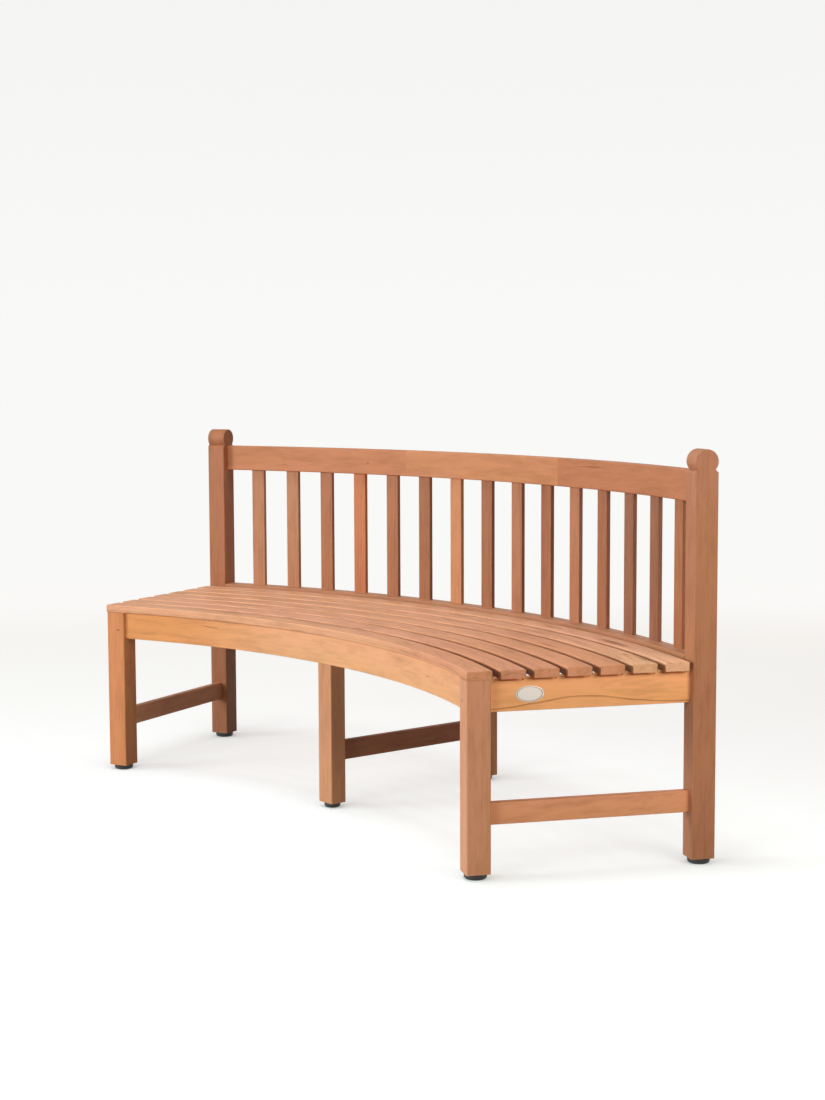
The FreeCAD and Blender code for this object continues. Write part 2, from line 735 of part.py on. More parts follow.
def relieve_under_slats(body, side):
    """One shallow recess with round lower corners, repeated under slats 2 to 7."""
    margin = named("relief_margin")
    near = seat_slat_inner(2) - margin
    far = near + seat_slat_width + 2 * margin
    top = side_rail_height
    foot = side_rail_height - named("relief_height")
    corner = named("relief_corner")
    sketch = new_sketch(body, body.Label + "_relief_outline", "YZ_Plane")
    depth = named("relief_depth")
    face = side * side_rail_thickness / 2
    sketch.AttachmentOffset = FreeCAD.Placement(V(0, 0, face.number), FreeCAD.Rotation())
    bind(sketch, "AttachmentOffset.Base.z", face)
    left, right, high, low = near.number, far.number, top.number, foot.number
    bend = corner.number
    slant = bend * (1 - math.sqrt(0.5))
    sketch.addGeometry(Part.LineSegment(V(left, high, 0), V(left, low + bend, 0)))
    sketch.addGeometry(Part.Arc(V(left, low + bend, 0), V(left + slant, low + slant, 0),
                                V(left + bend, low, 0)))
    sketch.addGeometry(Part.LineSegment(V(left + bend, low, 0), V(right - bend, low, 0)))
    sketch.addGeometry(Part.Arc(V(right - bend, low, 0), V(right - slant, low + slant, 0),
                                V(right, low + bend, 0)))
    sketch.addGeometry(Part.LineSegment(V(right, low + bend, 0), V(right, high, 0)))
    sketch.addGeometry(Part.LineSegment(V(right, high, 0), V(left, high, 0)))
    sketch.addConstraint(Sketcher.Constraint("Tangent", 0, 2, 1, 1))
    sketch.addConstraint(Sketcher.Constraint("Tangent", 1, 2, 2, 1))
    sketch.addConstraint(Sketcher.Constraint("Tangent", 2, 2, 3, 1))
    sketch.addConstraint(Sketcher.Constraint("Tangent", 3, 2, 4, 1))
    join_ends(sketch, (4, 2, 5, 1), (5, 2, 0, 1))
    for line, direction in ((0, "Vertical"), (2, "Horizontal"), (4, "Vertical"), (5, "Horizontal")):
        sketch.addConstraint(Sketcher.Constraint(direction, line))
    rule(sketch, "near", near, "DistanceX", -1, 1, 0, 1)
    rule(sketch, "length", far - near, "DistanceX", 5, 2, 5, 1)
    rule(sketch, "top", top, "DistanceY", -1, 1, 0, 1)
    rule(sketch, "height", named("relief_height"), "DistanceY", 2, 1, 0, 1)
    rule(sketch, "front_corner", corner, "Radius", 1)
    rule(sketch, "rear_corner", corner, "Radius", 3)
    recess = body.newObject("PartDesign::Pocket", body.Label + "_relief")
    recess.Profile = sketch
    recess.Reversed = side == LEFT
    bind(recess, "Length", depth)
    doc.recompute()
    row = body.newObject("PartDesign::LinearPattern", body.Label + "_reliefs")
    row.Originals = [recess]
    row.Direction = (origin_part(body, "Y_Axis"), [""])
    bind(row, "Length", (SEAT_SLATS - 2) * seat_slat_pitch)
    row.Occurrences = SEAT_SLATS - 1
    body.Tip = row
    doc.recompute()


def stretcher(side):
    label = "stretcher_" + SIDE_NAMES[side]
    body = frame_body(label, side, stretcher_rise)
    stick = block(body, named("stretcher_thickness"), leg_back, post_front, stretcher_height)
    round_edges(body, label + "_eased", stick, is_lengthwise, rail_edge)
    add_tenons(body, stretcher_rise, stretcher_tenons())
    return body


# Curved members

def end_point(radius, angle, offset):
    """Where a circle about the arc's centre meets an end plane.

    The plane is turned by angle from the line of symmetry and lies beside the centre by offset."""
    radius, angle, offset = [as_size(part).number for part in (radius, angle, offset)]
    along = math.sqrt(radius * radius - offset * offset)
    turn = math.radians(angle)
    return V(along * math.sin(turn) + offset * math.cos(turn),
             along * math.cos(turn) - offset * math.sin(turn), 0)


def arc_block(body, inner, outer, left_end, right_end, height):
    """A curved stick between two radii and two end planes, given as (angle, offset)."""
    sketch = new_sketch(body, body.Label + "_plan", "XY_Plane")
    corners = {}
    for name, end in (("left", left_end), ("right", right_end)):
        corners[name] = [end_point(radius, *end) for radius in (inner, outer)]
    for number, radius in enumerate((inner, outer)):
        start = math.atan2(corners["right"][number].y, corners["right"][number].x)
        stop = math.atan2(corners["left"][number].y, corners["left"][number].x)
        circle = Part.Circle(V(0, 0, 0), UP, radius.number)
        sketch.addGeometry(Part.ArcOfCircle(circle, start, stop))
    for name in ("left", "right"):
        sketch.addGeometry(Part.LineSegment(corners[name][0], corners[name][1]))
    join_ends(sketch, (0, 3, -1, 1), (1, 3, -1, 1), (0, 2, 2, 1), (1, 2, 2, 2), (0, 1, 3, 1), (1, 1, 3, 2))
    rule(sketch, "inner", inner, "Radius", 0)
    rule(sketch, "outer", outer, "Radius", 1)
    for line, name, (angle, offset) in ((2, "left", left_end), (3, "right", right_end)):
        rule(sketch, name + "_angle", 90 - as_size(angle), "Angle", line)
        offset = as_size(offset)
        if offset.number == 0:
            sketch.addConstraint(Sketcher.Constraint("PointOnObject", -1, 1, line))
        else:
            distance = offset if offset.number > 0 else 0 - offset
            rule(sketch, name + "_offset", distance, "Distance", -1, 1, line)
    return pad(body, body.Label + "_pad", sketch, height)


def between_legs():
    """End planes at the inner faces of the end legs and posts."""
    return (0 - frame_angle, half_leg), (frame_angle, 0 - half_leg)


def apron(front):
    label = "front_apron" if front else "rear_apron"
    inner = apron_front if front else rear_apron_front
    middle = apron_middle if front else rear_apron_middle
    body = new_body(label, apron_bottom)
    stick = arc_block(body, inner, inner + apron_thickness, *between_legs(), apron_height)
    round_edges(body, label + "_eased", stick, is_low_arc, rail_edge)
    for side in (LEFT, RIGHT):
        add_tenons(body, apron_bottom, [apron_tenon(side, middle)], side)
    if front:
        drill_apron_pegs(body)
    drill_for_apron_dowels(body, apron_bottom, front)
    return body


def is_low_arc(edge):
    return is_arc(edge) and abs(edge.Vertexes[0].Point.z) < SAME_PLACE


def turned_hole(body, label, diameter, length, side, across, along, rise):
    """A hole along the radius of an end frame, in a body whose axes aren't turned."""
    x, y = frame_point(side, across, along)
    feature = body.newObject("PartDesign::SubtractiveCylinder", label)
    bind(feature, "Radius", diameter / 2)
    bind(feature, "Height", length)
    turn = FreeCAD.Rotation(DOWN if side > 0 else UP, frame_angle.number)
    lay = FreeCAD.Rotation(UP, V(0, 1, 0))
    feature.Placement = FreeCAD.Placement(V(x.number, y.number, as_size(rise).number), turn.multiply(lay))
    for letter, length in zip("xyz", (x, y, as_size(rise))):
        bind(feature, "Placement.Base." + letter, length)
    return feature


def drill_apron_pegs(body):
    for side in (LEFT, RIGHT):
        across, height = peg_place(side)
        turned_hole(body, "%s_peg_hole_%s" % (body.Label, SIDE_NAMES[side]), peg_diameter + joint_clearance,
                    tenon_thickness + 2 * mortise_relief, side, across,
                    apron_middle - tenon_thickness / 2 - mortise_relief, height - apron_bottom)


def seat_slat(number):
    label = "seat_slat_%d" % number
    inner = seat_slat_inner(number)
    reach = half_leg + named("seat_slat_overhang")
    body = new_body(label, seat_base)
    ends = (0 - frame_angle, 0 - reach), (frame_angle, reach)
    stick = arc_block(body, inner, inner + seat_slat_width, *ends, seat_slat_thickness)
    rounded = round_edges(body, label + "_rounded", stick, is_arc, named("seat_slat_edge"))
    round_edges(body, label + "_eased", rounded, is_slat_end, named("seat_slat_end_edge"))
    depth = seat_dowel_in_slat + mortise_relief
    for side in (LEFT, MIDDLE, RIGHT):
        x, y = frame_point(side, *seat_dowel_place(side, number))
        round_hole(body, "%s_dowel_hole_%s" % (label, SIDE_NAMES[side]), hole_diameter, depth, (x, y, 0), UP)
    return body


def is_slat_end(edge):
    return not is_arc(edge) and edge.Length > 3 * SHORT_EDGE


def housings(body, label, first_angle, count, rise):
    """Housings for the ends of the upright slats, repeated about the arc's centre."""
    width = back_slat_width + 2 * joint_clearance
    thickness = back_slat_thickness + 2 * joint_clearance
    depth = named("back_slat_housing") + mortise_relief
    first = as_size(first_angle)
    side = LEFT if first.number < 0 else RIGHT
    angle = 0 - first if side == LEFT else first
    size = [width, thickness, depth]
    corner = [0 - width / 2, slat_radius - thickness / 2, rise]
    housing = box(body, label + "_housing", True, size, corner, side, angle)
    doc.recompute()
    row = body.newObject("PartDesign::PolarPattern", label + "_housings")
    row.Originals = [housing]
    row.Axis = (origin_part(body, "Z_Axis"), [""])
    row.Reversed = True
    bind(row, "Angle", slat_pitch * (count - 1))
    row.Occurrences = count
    body.Tip = row
    doc.recompute()


def lower_back_rail():
    label = "lower_back_rail"
    body = new_body(label, seat_base)
    stick = arc_block(body, post_front, rear_apron_back, *between_legs(), lower_rail_height)
    round_edges(body, label + "_eased", stick, is_high_arc(lower_rail_height), rail_edge)
    for side in (LEFT, RIGHT):
        add_tenons(body, seat_base, [lower_rail_tenon(side)], side)
    first = 0 - slat_pitch * ((BACK_SLATS - 1) / 2)
    housings(body, label, first, BACK_SLATS, lower_rail_height - named("back_slat_housing") - mortise_relief)
    return body


def is_high_arc(height):
    def test(edge):
        return is_arc(edge) and abs(edge.Vertexes[0].Point.z - height.number) < SAME_PLACE
    return test


def top_rail(place):
    """One of the three segments of the top rail. The outer ones are tenoned into the posts."""
    label = "top_rail_" + SIDE_NAMES[place]
    body = new_body(label, back_rail_bottom)
    left_post, right_post = between_legs()
    left_joint, right_joint = (0 - joint_angle, 0), (joint_angle, 0)
    left_end = {LEFT: left_post, MIDDLE: left_joint, RIGHT: right_joint}[place]
    right_end = {LEFT: left_joint, MIDDLE: right_joint, RIGHT: right_post}[place]
    stick = arc_block(body, back_rail_front, back_rail_back, left_end, right_end, back_rail_height)
    round_edges(body, label + "_eased", stick, is_arc, named("back_rail_edge"))
    if place != MIDDLE:
        add_tenons(body, back_rail_bottom, [back_rail_tenon(place)], place)
    for joint in (LEFT, RIGHT):
        if place in (MIDDLE, joint):
            drill_rail_joint(body, joint)
    first = slat_pitch * (place * SLATS_PER_SEGMENT - (SLATS_PER_SEGMENT - 1) / 2)
    housings(body, label, first, SLATS_PER_SEGMENT, 0 - mortise_relief)
    return body


# Dowels across the joints of the top rail

rail_dowel_length = named("rail_dowel_length")


def rail_dowel_places():
    """Side of the joint and height above the rail's bottom of each dowel."""
    inset = named("rail_dowel_inset")
    return [(joint, height) for joint in (LEFT, RIGHT) for height in (inset, back_rail_height - inset)]


def rail_dowel_start(joint, length):
    """A dowel's end, half its length to the left of a joint, on a line square to the radius."""
    half = length / 2
    return (joint * sine(joint_angle) * slat_radius - cosine(joint_angle) * half,
            cosine(joint_angle) * slat_radius + joint * sine(joint_angle) * half)


def lay_along_joint(joint):
    """The turn that lays an upright cylinder along the rail at a joint."""
    turn = FreeCAD.Rotation(DOWN if joint > 0 else UP, joint_angle.number)
    return turn.multiply(FreeCAD.Rotation(UP, V(1, 0, 0)))


def drill_rail_joint(body, joint):
    length = rail_dowel_length + 2 * mortise_relief
    x, y = rail_dowel_start(joint, length)
    heights = [height for side, height in rail_dowel_places() if side == joint]
    for number, height in enumerate(heights, start=1):
        name = "%s_joint_hole_%s%d" % (body.Label, SIDE_NAMES[joint], number)
        feature = body.newObject("PartDesign::SubtractiveCylinder", name)
        bind(feature, "Radius", hole_diameter / 2)
        bind(feature, "Height", length)
        feature.Placement = FreeCAD.Placement(V(x.number, y.number, height.number), lay_along_joint(joint))
        for letter, place in zip("xyz", (x, y, height)):
            bind(feature, "Placement.Base." + letter, place)


def back_slat(number):
    label = "back_slat_%02d" % number
    angle = slat_pitch * (number - (BACK_SLATS + 1) / 2)
    side = LEFT if angle.number < 0 else RIGHT
    if number == (BACK_SLATS + 1) // 2:
        side = MIDDLE
    housing = named("back_slat_housing")
    rise = lower_rail_top - housing
    body = new_body(label, rise, 0 - angle if side == LEFT else angle, side)
    half = back_slat_thickness / 2
    length = back_rail_bottom + housing - rise
    stick = block(body, back_slat_width, slat_radius - half, slat_radius + half, length)
    round_edges(body, label + "_eased", stick, is_upright, named("back_slat_edge"))
    return body


# Groups of equal small pieces, each a compound of separate cylinders

def cylinder(label, diameter, length, start, turn):
    piece = doc.addObject("Part::Cylinder", label)
    bind(piece, "Radius", diameter / 2)
    bind(piece, "Height", length)
    piece.Placement = FreeCAD.Placement(V(*[as_size(place).number for place in start]), turn)
    for letter, place in zip("xyz", start):
        bind(piece, "Placement.Base." + letter, place)
    return piece


def group(label, pieces):
    compound = doc.addObject("Part::Compound", label)
    compound.Label = label
    compound.Links = pieces
    return compound


def frame_turn(side, lay):
    turn = FreeCAD.Rotation(DOWN if side > 0 else UP, frame_angle.number if side else 0)
    return turn.multiply(lay)


def seat_dowels():
    pieces = []
    length = seat_dowel_in_rail + seat_dowel_in_slat
    for number in range(1, SEAT_SLATS + 1):
        for side in (LEFT, MIDDLE, RIGHT):
            x, y = frame_point(side, *seat_dowel_place(side, number))
            start = (x, y - arc_centre, seat_base - seat_dowel_in_rail)
            name = "seat_dowel_%d_%s" % (number, SIDE_NAMES[side])
            pieces.append(cylinder(name, dowel_diameter, length, start, FreeCAD.Rotation()))
    return group("seat_dowels", pieces)


def middle_leg_dowels():
    pieces = []
    for front in (True, False):
        for sign in (-1, 1):
            across = sign * named("apron_dowel_offset")
            start = (across, apron_dowel_start(front) - arc_centre, apron_dowel_height)
            name = "middle_leg_dowel_%d" % (len(pieces) + 1)
            turn = FreeCAD.Rotation(UP, V(0, 1, 0))
            pieces.append(cylinder(name, dowel_diameter, named("apron_dowel_length"), start, turn))
    return group("middle_leg_dowels", pieces)


def top_rail_dowels():
    pieces = []
    for joint, height in rail_dowel_places():
        x, y = rail_dowel_start(joint, rail_dowel_length)
        start = (x, y - arc_centre, back_rail_bottom + height)
        name = "top_rail_dowel_%d" % (len(pieces) + 1)
        pieces.append(cylinder(name, dowel_diameter, rail_dowel_length, start, lay_along_joint(joint)))
    return group("top_rail_dowels", pieces)


def apron_pegs():
    pieces = []
    for side in (LEFT, RIGHT):
        across, height = peg_place(side)
        x, y = frame_point(side, across, front_radius)
        name = "apron_peg_" + SIDE_NAMES[side]
        turn = frame_turn(side, FreeCAD.Rotation(UP, V(0, 1, 0)))
        pieces.append(cylinder(name, peg_diameter, peg_length(), (x, y - arc_centre, height), turn))
    return group("apron_pegs", pieces)


# Badge

badge_middle = leg_back + named("badge_from_leg")
badge_stud_diameter = named("badge_stud_diameter")
badge_stud_length = named("badge_stud_length")


def badge_stud_places():
    half = named("badge_stud_spacing") / 2
    return badge_middle - half, badge_middle + half


def drill_for_badge(body):
    depth = badge_stud_length + mortise_relief
    for number, along in enumerate(badge_stud_places(), start=1):
        start = (side_rail_thickness / 2 - depth, along, side_rail_height / 2)
        diameter = badge_stud_diameter + joint_clearance
        round_hole(body, "%s_stud_hole_%d" % (body.Label, number), diameter, depth, start, V(1, 0, 0))


def badge_plate():
    """A bare oval plate with two studs behind it, pressed into the right side rail."""
    label = "badge_plate"
    rise = side_rail_bottom + side_rail_height / 2
    body = frame_body(label, RIGHT, rise)
    face = side_rail_thickness / 2
    sketch = new_sketch(body, label + "_outline", "YZ_Plane")
    sketch.AttachmentOffset = FreeCAD.Placement(V(0, 0, face.number), FreeCAD.Rotation())
    bind(sketch, "AttachmentOffset.Base.z", face)
    long_half, short_half = named("badge_width") / 2, named("badge_height") / 2
    middle = V(badge_middle.number, 0, 0)
    sketch.addGeometry(Part.Ellipse(middle + V(long_half.number, 0, 0), middle + V(0, short_half.number, 0),
                                    middle))
    sketch.exposeInternalGeometry(0)
    sketch.addConstraint(Sketcher.Constraint("PointOnObject", 0, 3, -1))
    sketch.addConstraint(Sketcher.Constraint("Horizontal", 1))
    rule(sketch, "middle", badge_middle, "DistanceX", -1, 1, 0, 3)
    rule(sketch, "long", long_half * 2, "Distance", 1)
    rule(sketch, "short", short_half * 2, "Distance", 2)
    pad(body, label + "_pad", sketch, named("badge_thickness"))
    for number, along in enumerate(badge_stud_places(), start=1):
        stud = body.newObject("PartDesign::AdditiveCylinder", "%s_stud_%d" % (label, number))
        bind(stud, "Radius", badge_stud_diameter / 2)
        bind(stud, "Height", badge_stud_length)
        start = (face - badge_stud_length, along, as_size(0))
        stud.Placement = FreeCAD.Placement(V(*[place.number for place in start]),
                                           FreeCAD.Rotation(UP, V(1, 0, 0)))
        for letter, place in zip("xyz", start):
            bind(stud, "Placement.Base." + letter, place)
    return body


# The whole bench

nodes = []
for side in (LEFT, RIGHT):
    nodes += [front_leg(side), rear_post(side)]
for side in (LEFT, MIDDLE, RIGHT):
    nodes += [side_rail(side), stretcher(side), top_rail(side)]
nodes += [middle_leg(True), middle_leg(False), apron(True), apron(False), lower_back_rail()]
nodes += [seat_slat(number) for number in range(1, SEAT_SLATS + 1)]
nodes += [back_slat(number) for number in range(1, BACK_SLATS + 1)]

end_glide = named("glide_diameter")
middle_glide = named("middle_glide_diameter")
for side in (LEFT, RIGHT):
    nodes.append(glide("glide_front_" + SIDE_NAMES[side], side, front_radius + half_leg, end_glide))
    nodes.append(glide("glide_rear_" + SIDE_NAMES[side], side, post_middle, end_glide))
nodes.append(glide("glide_front_middle", MIDDLE, leg_back - middle_leg_depth / 2, middle_glide))
nodes.append(glide("glide_rear_middle", MIDDLE, post_front + middle_leg_depth / 2, middle_glide))
nodes += [seat_dowels(), middle_leg_dowels(), top_rail_dowels(), apron_pegs(), badge_plate()]

# Check and write

doc.recompute()
failed = [thing.Label for thing in doc.Objects if "Invalid" in thing.State or "Error" in thing.State]
if failed:
    raise RuntimeError("failed objects: " + ", ".join(failed))
for node in nodes:
    if node.Shape.isNull() or not node.Shape.isValid():
        raise RuntimeError("bad shape: " + node.Label)

os.makedirs("parts", exist_ok=True)
for node in nodes:
    node.Shape.exportStep("parts/%s.step" % node.Label)
    extent = node.Shape.BoundBox
    print("%-20s %2d solid(s) %10.0f mm3  x %7.1f %7.1f  y %7.1f %7.1f  z %6.1f %6.1f" % (
        node.Label, len(node.Shape.Solids), node.Shape.Volume, extent.XMin, extent.XMax,
        extent.YMin, extent.YMax, extent.ZMin, extent.ZMax))
print(len(nodes), "nodes")
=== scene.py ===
# %% [markdown]
# A curved garden bench in teak, made as a joiner makes it: legs and posts, aprons, side rails, stretchers,
# seven curved seat slats and a back of fifteen upright slats under a top rail in three parts.
#
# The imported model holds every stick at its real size, so this script adds no wood of its own. It gives each
# board its own piece of teak, models the small oval badge, and sets up the studio and the camera.
# Everything is in metres. +X runs along the bench to the right as seen from the front, +Y from the seat's
# front to its back, +Z is up, and the origin is on the floor.

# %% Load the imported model
import math
import random

import bpy
from mathutils import Matrix, Vector


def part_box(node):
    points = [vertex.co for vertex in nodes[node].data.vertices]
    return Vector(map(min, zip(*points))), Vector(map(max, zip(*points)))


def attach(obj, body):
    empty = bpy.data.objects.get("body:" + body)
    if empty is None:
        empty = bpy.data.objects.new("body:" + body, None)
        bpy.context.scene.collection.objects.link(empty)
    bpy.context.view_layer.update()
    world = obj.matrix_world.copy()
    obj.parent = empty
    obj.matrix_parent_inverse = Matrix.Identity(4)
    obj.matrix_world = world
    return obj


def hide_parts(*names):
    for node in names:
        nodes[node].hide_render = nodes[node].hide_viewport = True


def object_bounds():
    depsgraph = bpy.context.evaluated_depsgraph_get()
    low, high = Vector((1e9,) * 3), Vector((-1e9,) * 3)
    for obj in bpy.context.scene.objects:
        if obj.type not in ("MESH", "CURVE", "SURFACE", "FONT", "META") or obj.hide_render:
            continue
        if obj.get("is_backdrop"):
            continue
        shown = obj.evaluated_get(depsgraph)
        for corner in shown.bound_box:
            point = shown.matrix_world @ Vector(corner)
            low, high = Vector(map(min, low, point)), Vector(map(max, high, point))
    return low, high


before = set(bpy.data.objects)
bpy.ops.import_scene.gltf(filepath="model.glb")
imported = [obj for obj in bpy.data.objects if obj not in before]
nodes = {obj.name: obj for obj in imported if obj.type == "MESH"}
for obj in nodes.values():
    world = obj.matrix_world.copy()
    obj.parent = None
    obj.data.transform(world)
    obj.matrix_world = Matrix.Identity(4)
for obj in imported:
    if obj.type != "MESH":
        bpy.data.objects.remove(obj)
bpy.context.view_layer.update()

# %% [markdown]
# The plan of the bench is an arc. Its three frames point at the arc's centre, and every curved board follows
# a circle about it, so the grain of the wood needs that one place. It could be written down as a number. It
# is worked out from a stretcher instead: the stretcher's middle line, followed inwards at the frame's
# angle, meets the bench's line of symmetry at the centre, so the scene follows the model if that changes.

# %% Find the centre of the arc
FRAME_ANGLE = math.radians(24.4)
SIDES = {"left": -1, "middle": 0, "right": 1}
UP = Vector((0, 0, 1))


def middle_of(name):
    low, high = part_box(name)
    return (low + high) / 2


stretcher_middle = middle_of("stretcher_right")
arc_centre = Vector((0, stretcher_middle.y - stretcher_middle.x / math.tan(FRAME_ANGLE), 0))
print("centre of the arc", tuple(round(place, 4) for place in arc_centre))


def outward(angle):
    """The level direction from the arc's centre, at this angle from the line of symmetry."""
    return Vector((math.sin(angle), math.cos(angle), 0))


def along_bench(angle):
    """The level direction along the curved boards, at this angle from the line of symmetry."""
    return Vector((math.cos(angle), -math.sin(angle), 0))


# %% [markdown]
# The camera stands to the front right of the bench, a little over a metre above the floor and almost five
# metres away. Its place, turn and lens were worked out from the corners of the bench in the picture. It
# could be aimed with a Track To constraint, but that leaves no say over its small roll. A camera looks
# along its own -Z with +Y up in the picture, so a matrix of three unit directions turns it exactly.

# %% Camera
CAMERA_PLACE = Vector((3.7592, -2.9245, 1.0817))
CAMERA_YAW = math.radians(-51.225)
CAMERA_PITCH = math.radians(5.428)
CAMERA_ROLL = math.radians(-0.224)
FOCAL_PIXELS = 1909.0
PICTURE_HEIGHT = 1100
SENSOR = 36.0

level_ahead = Vector((math.sin(CAMERA_YAW), math.cos(CAMERA_YAW), 0))
level_right = level_ahead.cross(UP)
ahead = math.cos(CAMERA_PITCH) * level_ahead - math.sin(CAMERA_PITCH) * UP
level_up = level_right.cross(ahead)
right = math.cos(CAMERA_ROLL) * level_right + math.sin(CAMERA_ROLL) * level_up
upward = math.cos(CAMERA_ROLL) * level_up - math.sin(CAMERA_ROLL) * level_right

camera_data = bpy.data.cameras.new("camera")
camera_data.sensor_width = SENSOR
camera_data.lens = FOCAL_PIXELS / PICTURE_HEIGHT * SENSOR
camera = bpy.data.objects.new("camera", camera_data)
camera.matrix_world = Matrix.Translation(CAMERA_PLACE) @ Matrix((right, upward, -ahead)).transposed().to_4x4()
bpy.context.scene.collection.objects.link(camera)
bpy.context.scene.camera = camera
print("lens", round(camera_data.lens, 2), "mm")

# %% [markdown]
# The studio's light is soft. Two large panels stand low and far off in front and light the faces of the
# bench. A third hangs above it, lights the seat and drops the bench's shadow straight down between its
# feet. A smaller and warmer one stands low and close beyond the right end: it lights the
# outer faces of that end's legs, which are more orange than their front faces, and falls off before it gets
# to the middle. One strong lamp in front would be simpler, but it throws one dark shadow behind the bench,
# and the picture shows the brightest floor there.
#
# A lamp of P watts at d metres lights a white wall to the level P / (pi d)^2, and at level 1 a colour
# shows as it is written. The levels are named that way, and the watts follow.

# %% Lamps
BENCH_MIDDLE = Vector((0, 0, 0.45))
RIGHT_END = Vector((0.84, -0.10, 0.45))
WHITE_LIGHT = (1, 1, 1)
WARM_LIGHT = (1, 0.87, 0.77)
LAMPS = {  # aim, distance, size, turn from straight in front towards the right end, rise, level, colour
    "panel_left": (BENCH_MIDDLE, 7.0, 2.6, -30, 14, 0.54, WHITE_LIGHT),
    "panel_front": (BENCH_MIDDLE, 7.0, 2.6, 12, 14, 0.35, WHITE_LIGHT),
    "panel_above": (BENCH_MIDDLE, 4.5, 1.3, 0, 82, 0.47, WHITE_LIGHT),
    "panel_end": (RIGHT_END, 1.8, 0.7, 92, 21, 0.57, WARM_LIGHT),
}


def add_lamp(name, aim, distance, size, turn, rise, level, tint):
    turn, rise = math.radians(turn), math.radians(rise)
    direction = Vector((math.sin(turn) * math.cos(rise), -math.cos(turn) * math.cos(rise), math.sin(rise)))
    data = bpy.data.lights.new(name, "AREA")
    data.shape = "SQUARE"
    data.size = size
    data.energy = level * (math.pi * distance) ** 2
    data.color = tint
    lamp = bpy.data.objects.new(name, data)
    lamp.location = aim + distance * direction
    lamp.rotation_euler = direction.to_track_quat("Z", "Y").to_euler()
    bpy.context.scene.collection.objects.link(lamp)


for name, setting in LAMPS.items():
    add_lamp(name, *setting)
bpy.context.scene.view_settings.view_transform = "Standard"
print(len(LAMPS), "lamps")

# %% [markdown]
# Shaders are trees of nodes joined by wires. Each node could be made and wired by hand on lines of its own,
# but then the sums behind a pattern are lost among them. These small functions make one node each and
# return its output, so a pattern reads as a sum of sums. First come the sums with numbers and places.

# %% Helpers for sums in node trees
def put(tree, value, socket):
    """Feed a socket: a wire from another socket, or a plain value."""
    if isinstance(value, bpy.types.NodeSocket):
        tree.links.new(value, socket)
    else:
        socket.default_value = value


def calculate(tree, operation, *values):
    made = tree.nodes.new("ShaderNodeMath")
    made.operation = operation
    for value, socket in zip(values, made.inputs):
        put(tree, value, socket)
    return made.outputs[0]


def one_minus(tree, value):
    return calculate(tree, "SUBTRACT", 1.0, value)


def vector_math(tree, operation, *values):
    made = tree.nodes.new("ShaderNodeVectorMath")
    made.operation = operation
    for value, socket in zip(values, made.inputs):
        put(tree, value, socket)
    return made.outputs["Value" if operation in ("LENGTH", "DOT_PRODUCT") else "Vector"]


def step(tree, value, low, high):
    """0 below low, 1 above high, and smooth between them."""
    made = tree.nodes.new("ShaderNodeMapRange")
    made.interpolation_type = "SMOOTHSTEP"
    put(tree, value, made.inputs["Value"])
    made.inputs["From Min"].default_value = low
    made.inputs["From Max"].default_value = high
    return made.outputs["Result"]


def object_point(tree):
    return tree.nodes.new("ShaderNodeTexCoord").outputs["Object"]


def split(tree, vector):
    made = tree.nodes.new("ShaderNodeSeparateXYZ")
    put(tree, vector, made.inputs[0])
    return made.outputs


def join(tree, x, y, z):
    made = tree.nodes.new("ShaderNodeCombineXYZ")
    for value, socket in zip((x, y, z), made.inputs):
        put(tree, value, socket)
    return made.outputs[0]


print("helpers for numbers and places")

# %% [markdown]
# Then the colours. A picture's 0 to 255 is spaced as the eye sees, and a shader counts light, so a colour
# that is written as in a picture has to be straightened first. A blend of two colours is one Mix node, and
# a blend through several is a colour ramp. The last helper tells light that the camera sees from light that
# falls on the bench, so the pale surroundings can be seen without shining on the wood.

# %% Helpers for colours in node trees
def colour(red, green, blue):
    """A colour written in the 0 to 255 of a picture, as the linear numbers that shaders use."""
    shares = [part / 255 for part in (red, green, blue)]
    linear = [part / 12.92 if part <= 0.04045 else ((part + 0.055) / 1.055) ** 2.4 for part in shares]
    return (*linear, 1)


def mix(tree, share, first, second):
    made = tree.nodes.new("ShaderNodeMix")
    made.data_type = "RGBA"
    put(tree, share, made.inputs["Factor"])
    put(tree, first, made.inputs["A"])
    put(tree, second, made.inputs["B"])
    return made.outputs["Result"]


def ramp(tree, value, stops):
    """Blend between colours that stand at given values."""
    (first, first_shade), (last, last_shade) = stops[0], stops[-1]
    made = tree.nodes.new("ShaderNodeValToRGB")
    span = tree.nodes.new("ShaderNodeMapRange")
    put(tree, value, span.inputs["Value"])
    span.inputs["From Min"].default_value = first
    span.inputs["From Max"].default_value = last
    put(tree, span.outputs["Result"], made.inputs["Fac"])
    made.color_ramp.interpolation = "EASE"
    for place, shade in stops[1:-1]:
        made.color_ramp.elements.new((place - first) / (last - first)).color = shade
    made.color_ramp.elements[0].color = first_shade
    made.color_ramp.elements[-1].color = last_shade
    return made.outputs["Color"]


def seen_directly(tree):
    """1 for what is seen straight, in a mirror or through glass, and 0 for light that falls on the bench."""
    path = tree.nodes.new("ShaderNodeLightPath")
    mirrored = calculate(tree, "MAXIMUM", path.outputs["Is Camera Ray"], path.outputs["Is Glossy Ray"])
    return calculate(tree, "MAXIMUM", mirrored, path.outputs["Is Transmission Ray"])


print("a middle grey of 128 is", round(colour(128, 128, 128)[0], 3), "of full light")

# %% [markdown]
# Behind the bench the studio's paper sweeps up into a wall, nearly white and, with painted shade, a little
# greyer towards the top. A modelled sweep would need a seam-free join with the floor from every side. The
# world's own colour stands in for it: it is graded by how steeply one looks up, and the far floor ends in the
# same white, so no horizon shows. The room itself gives the bench hardly any light, because its dark faces
# are dark.

# %% Surroundings
ROOM_LEVEL = 0.03
ROOM_WHITE = (1, 1, 1, 1)
WALL_FOOT = colour(249, 249, 247)
# The greyer top of the wall is painted shade.
WALL_TOP = colour(245, 245, 243)
WALL_TOP_HEIGHT = 0.2

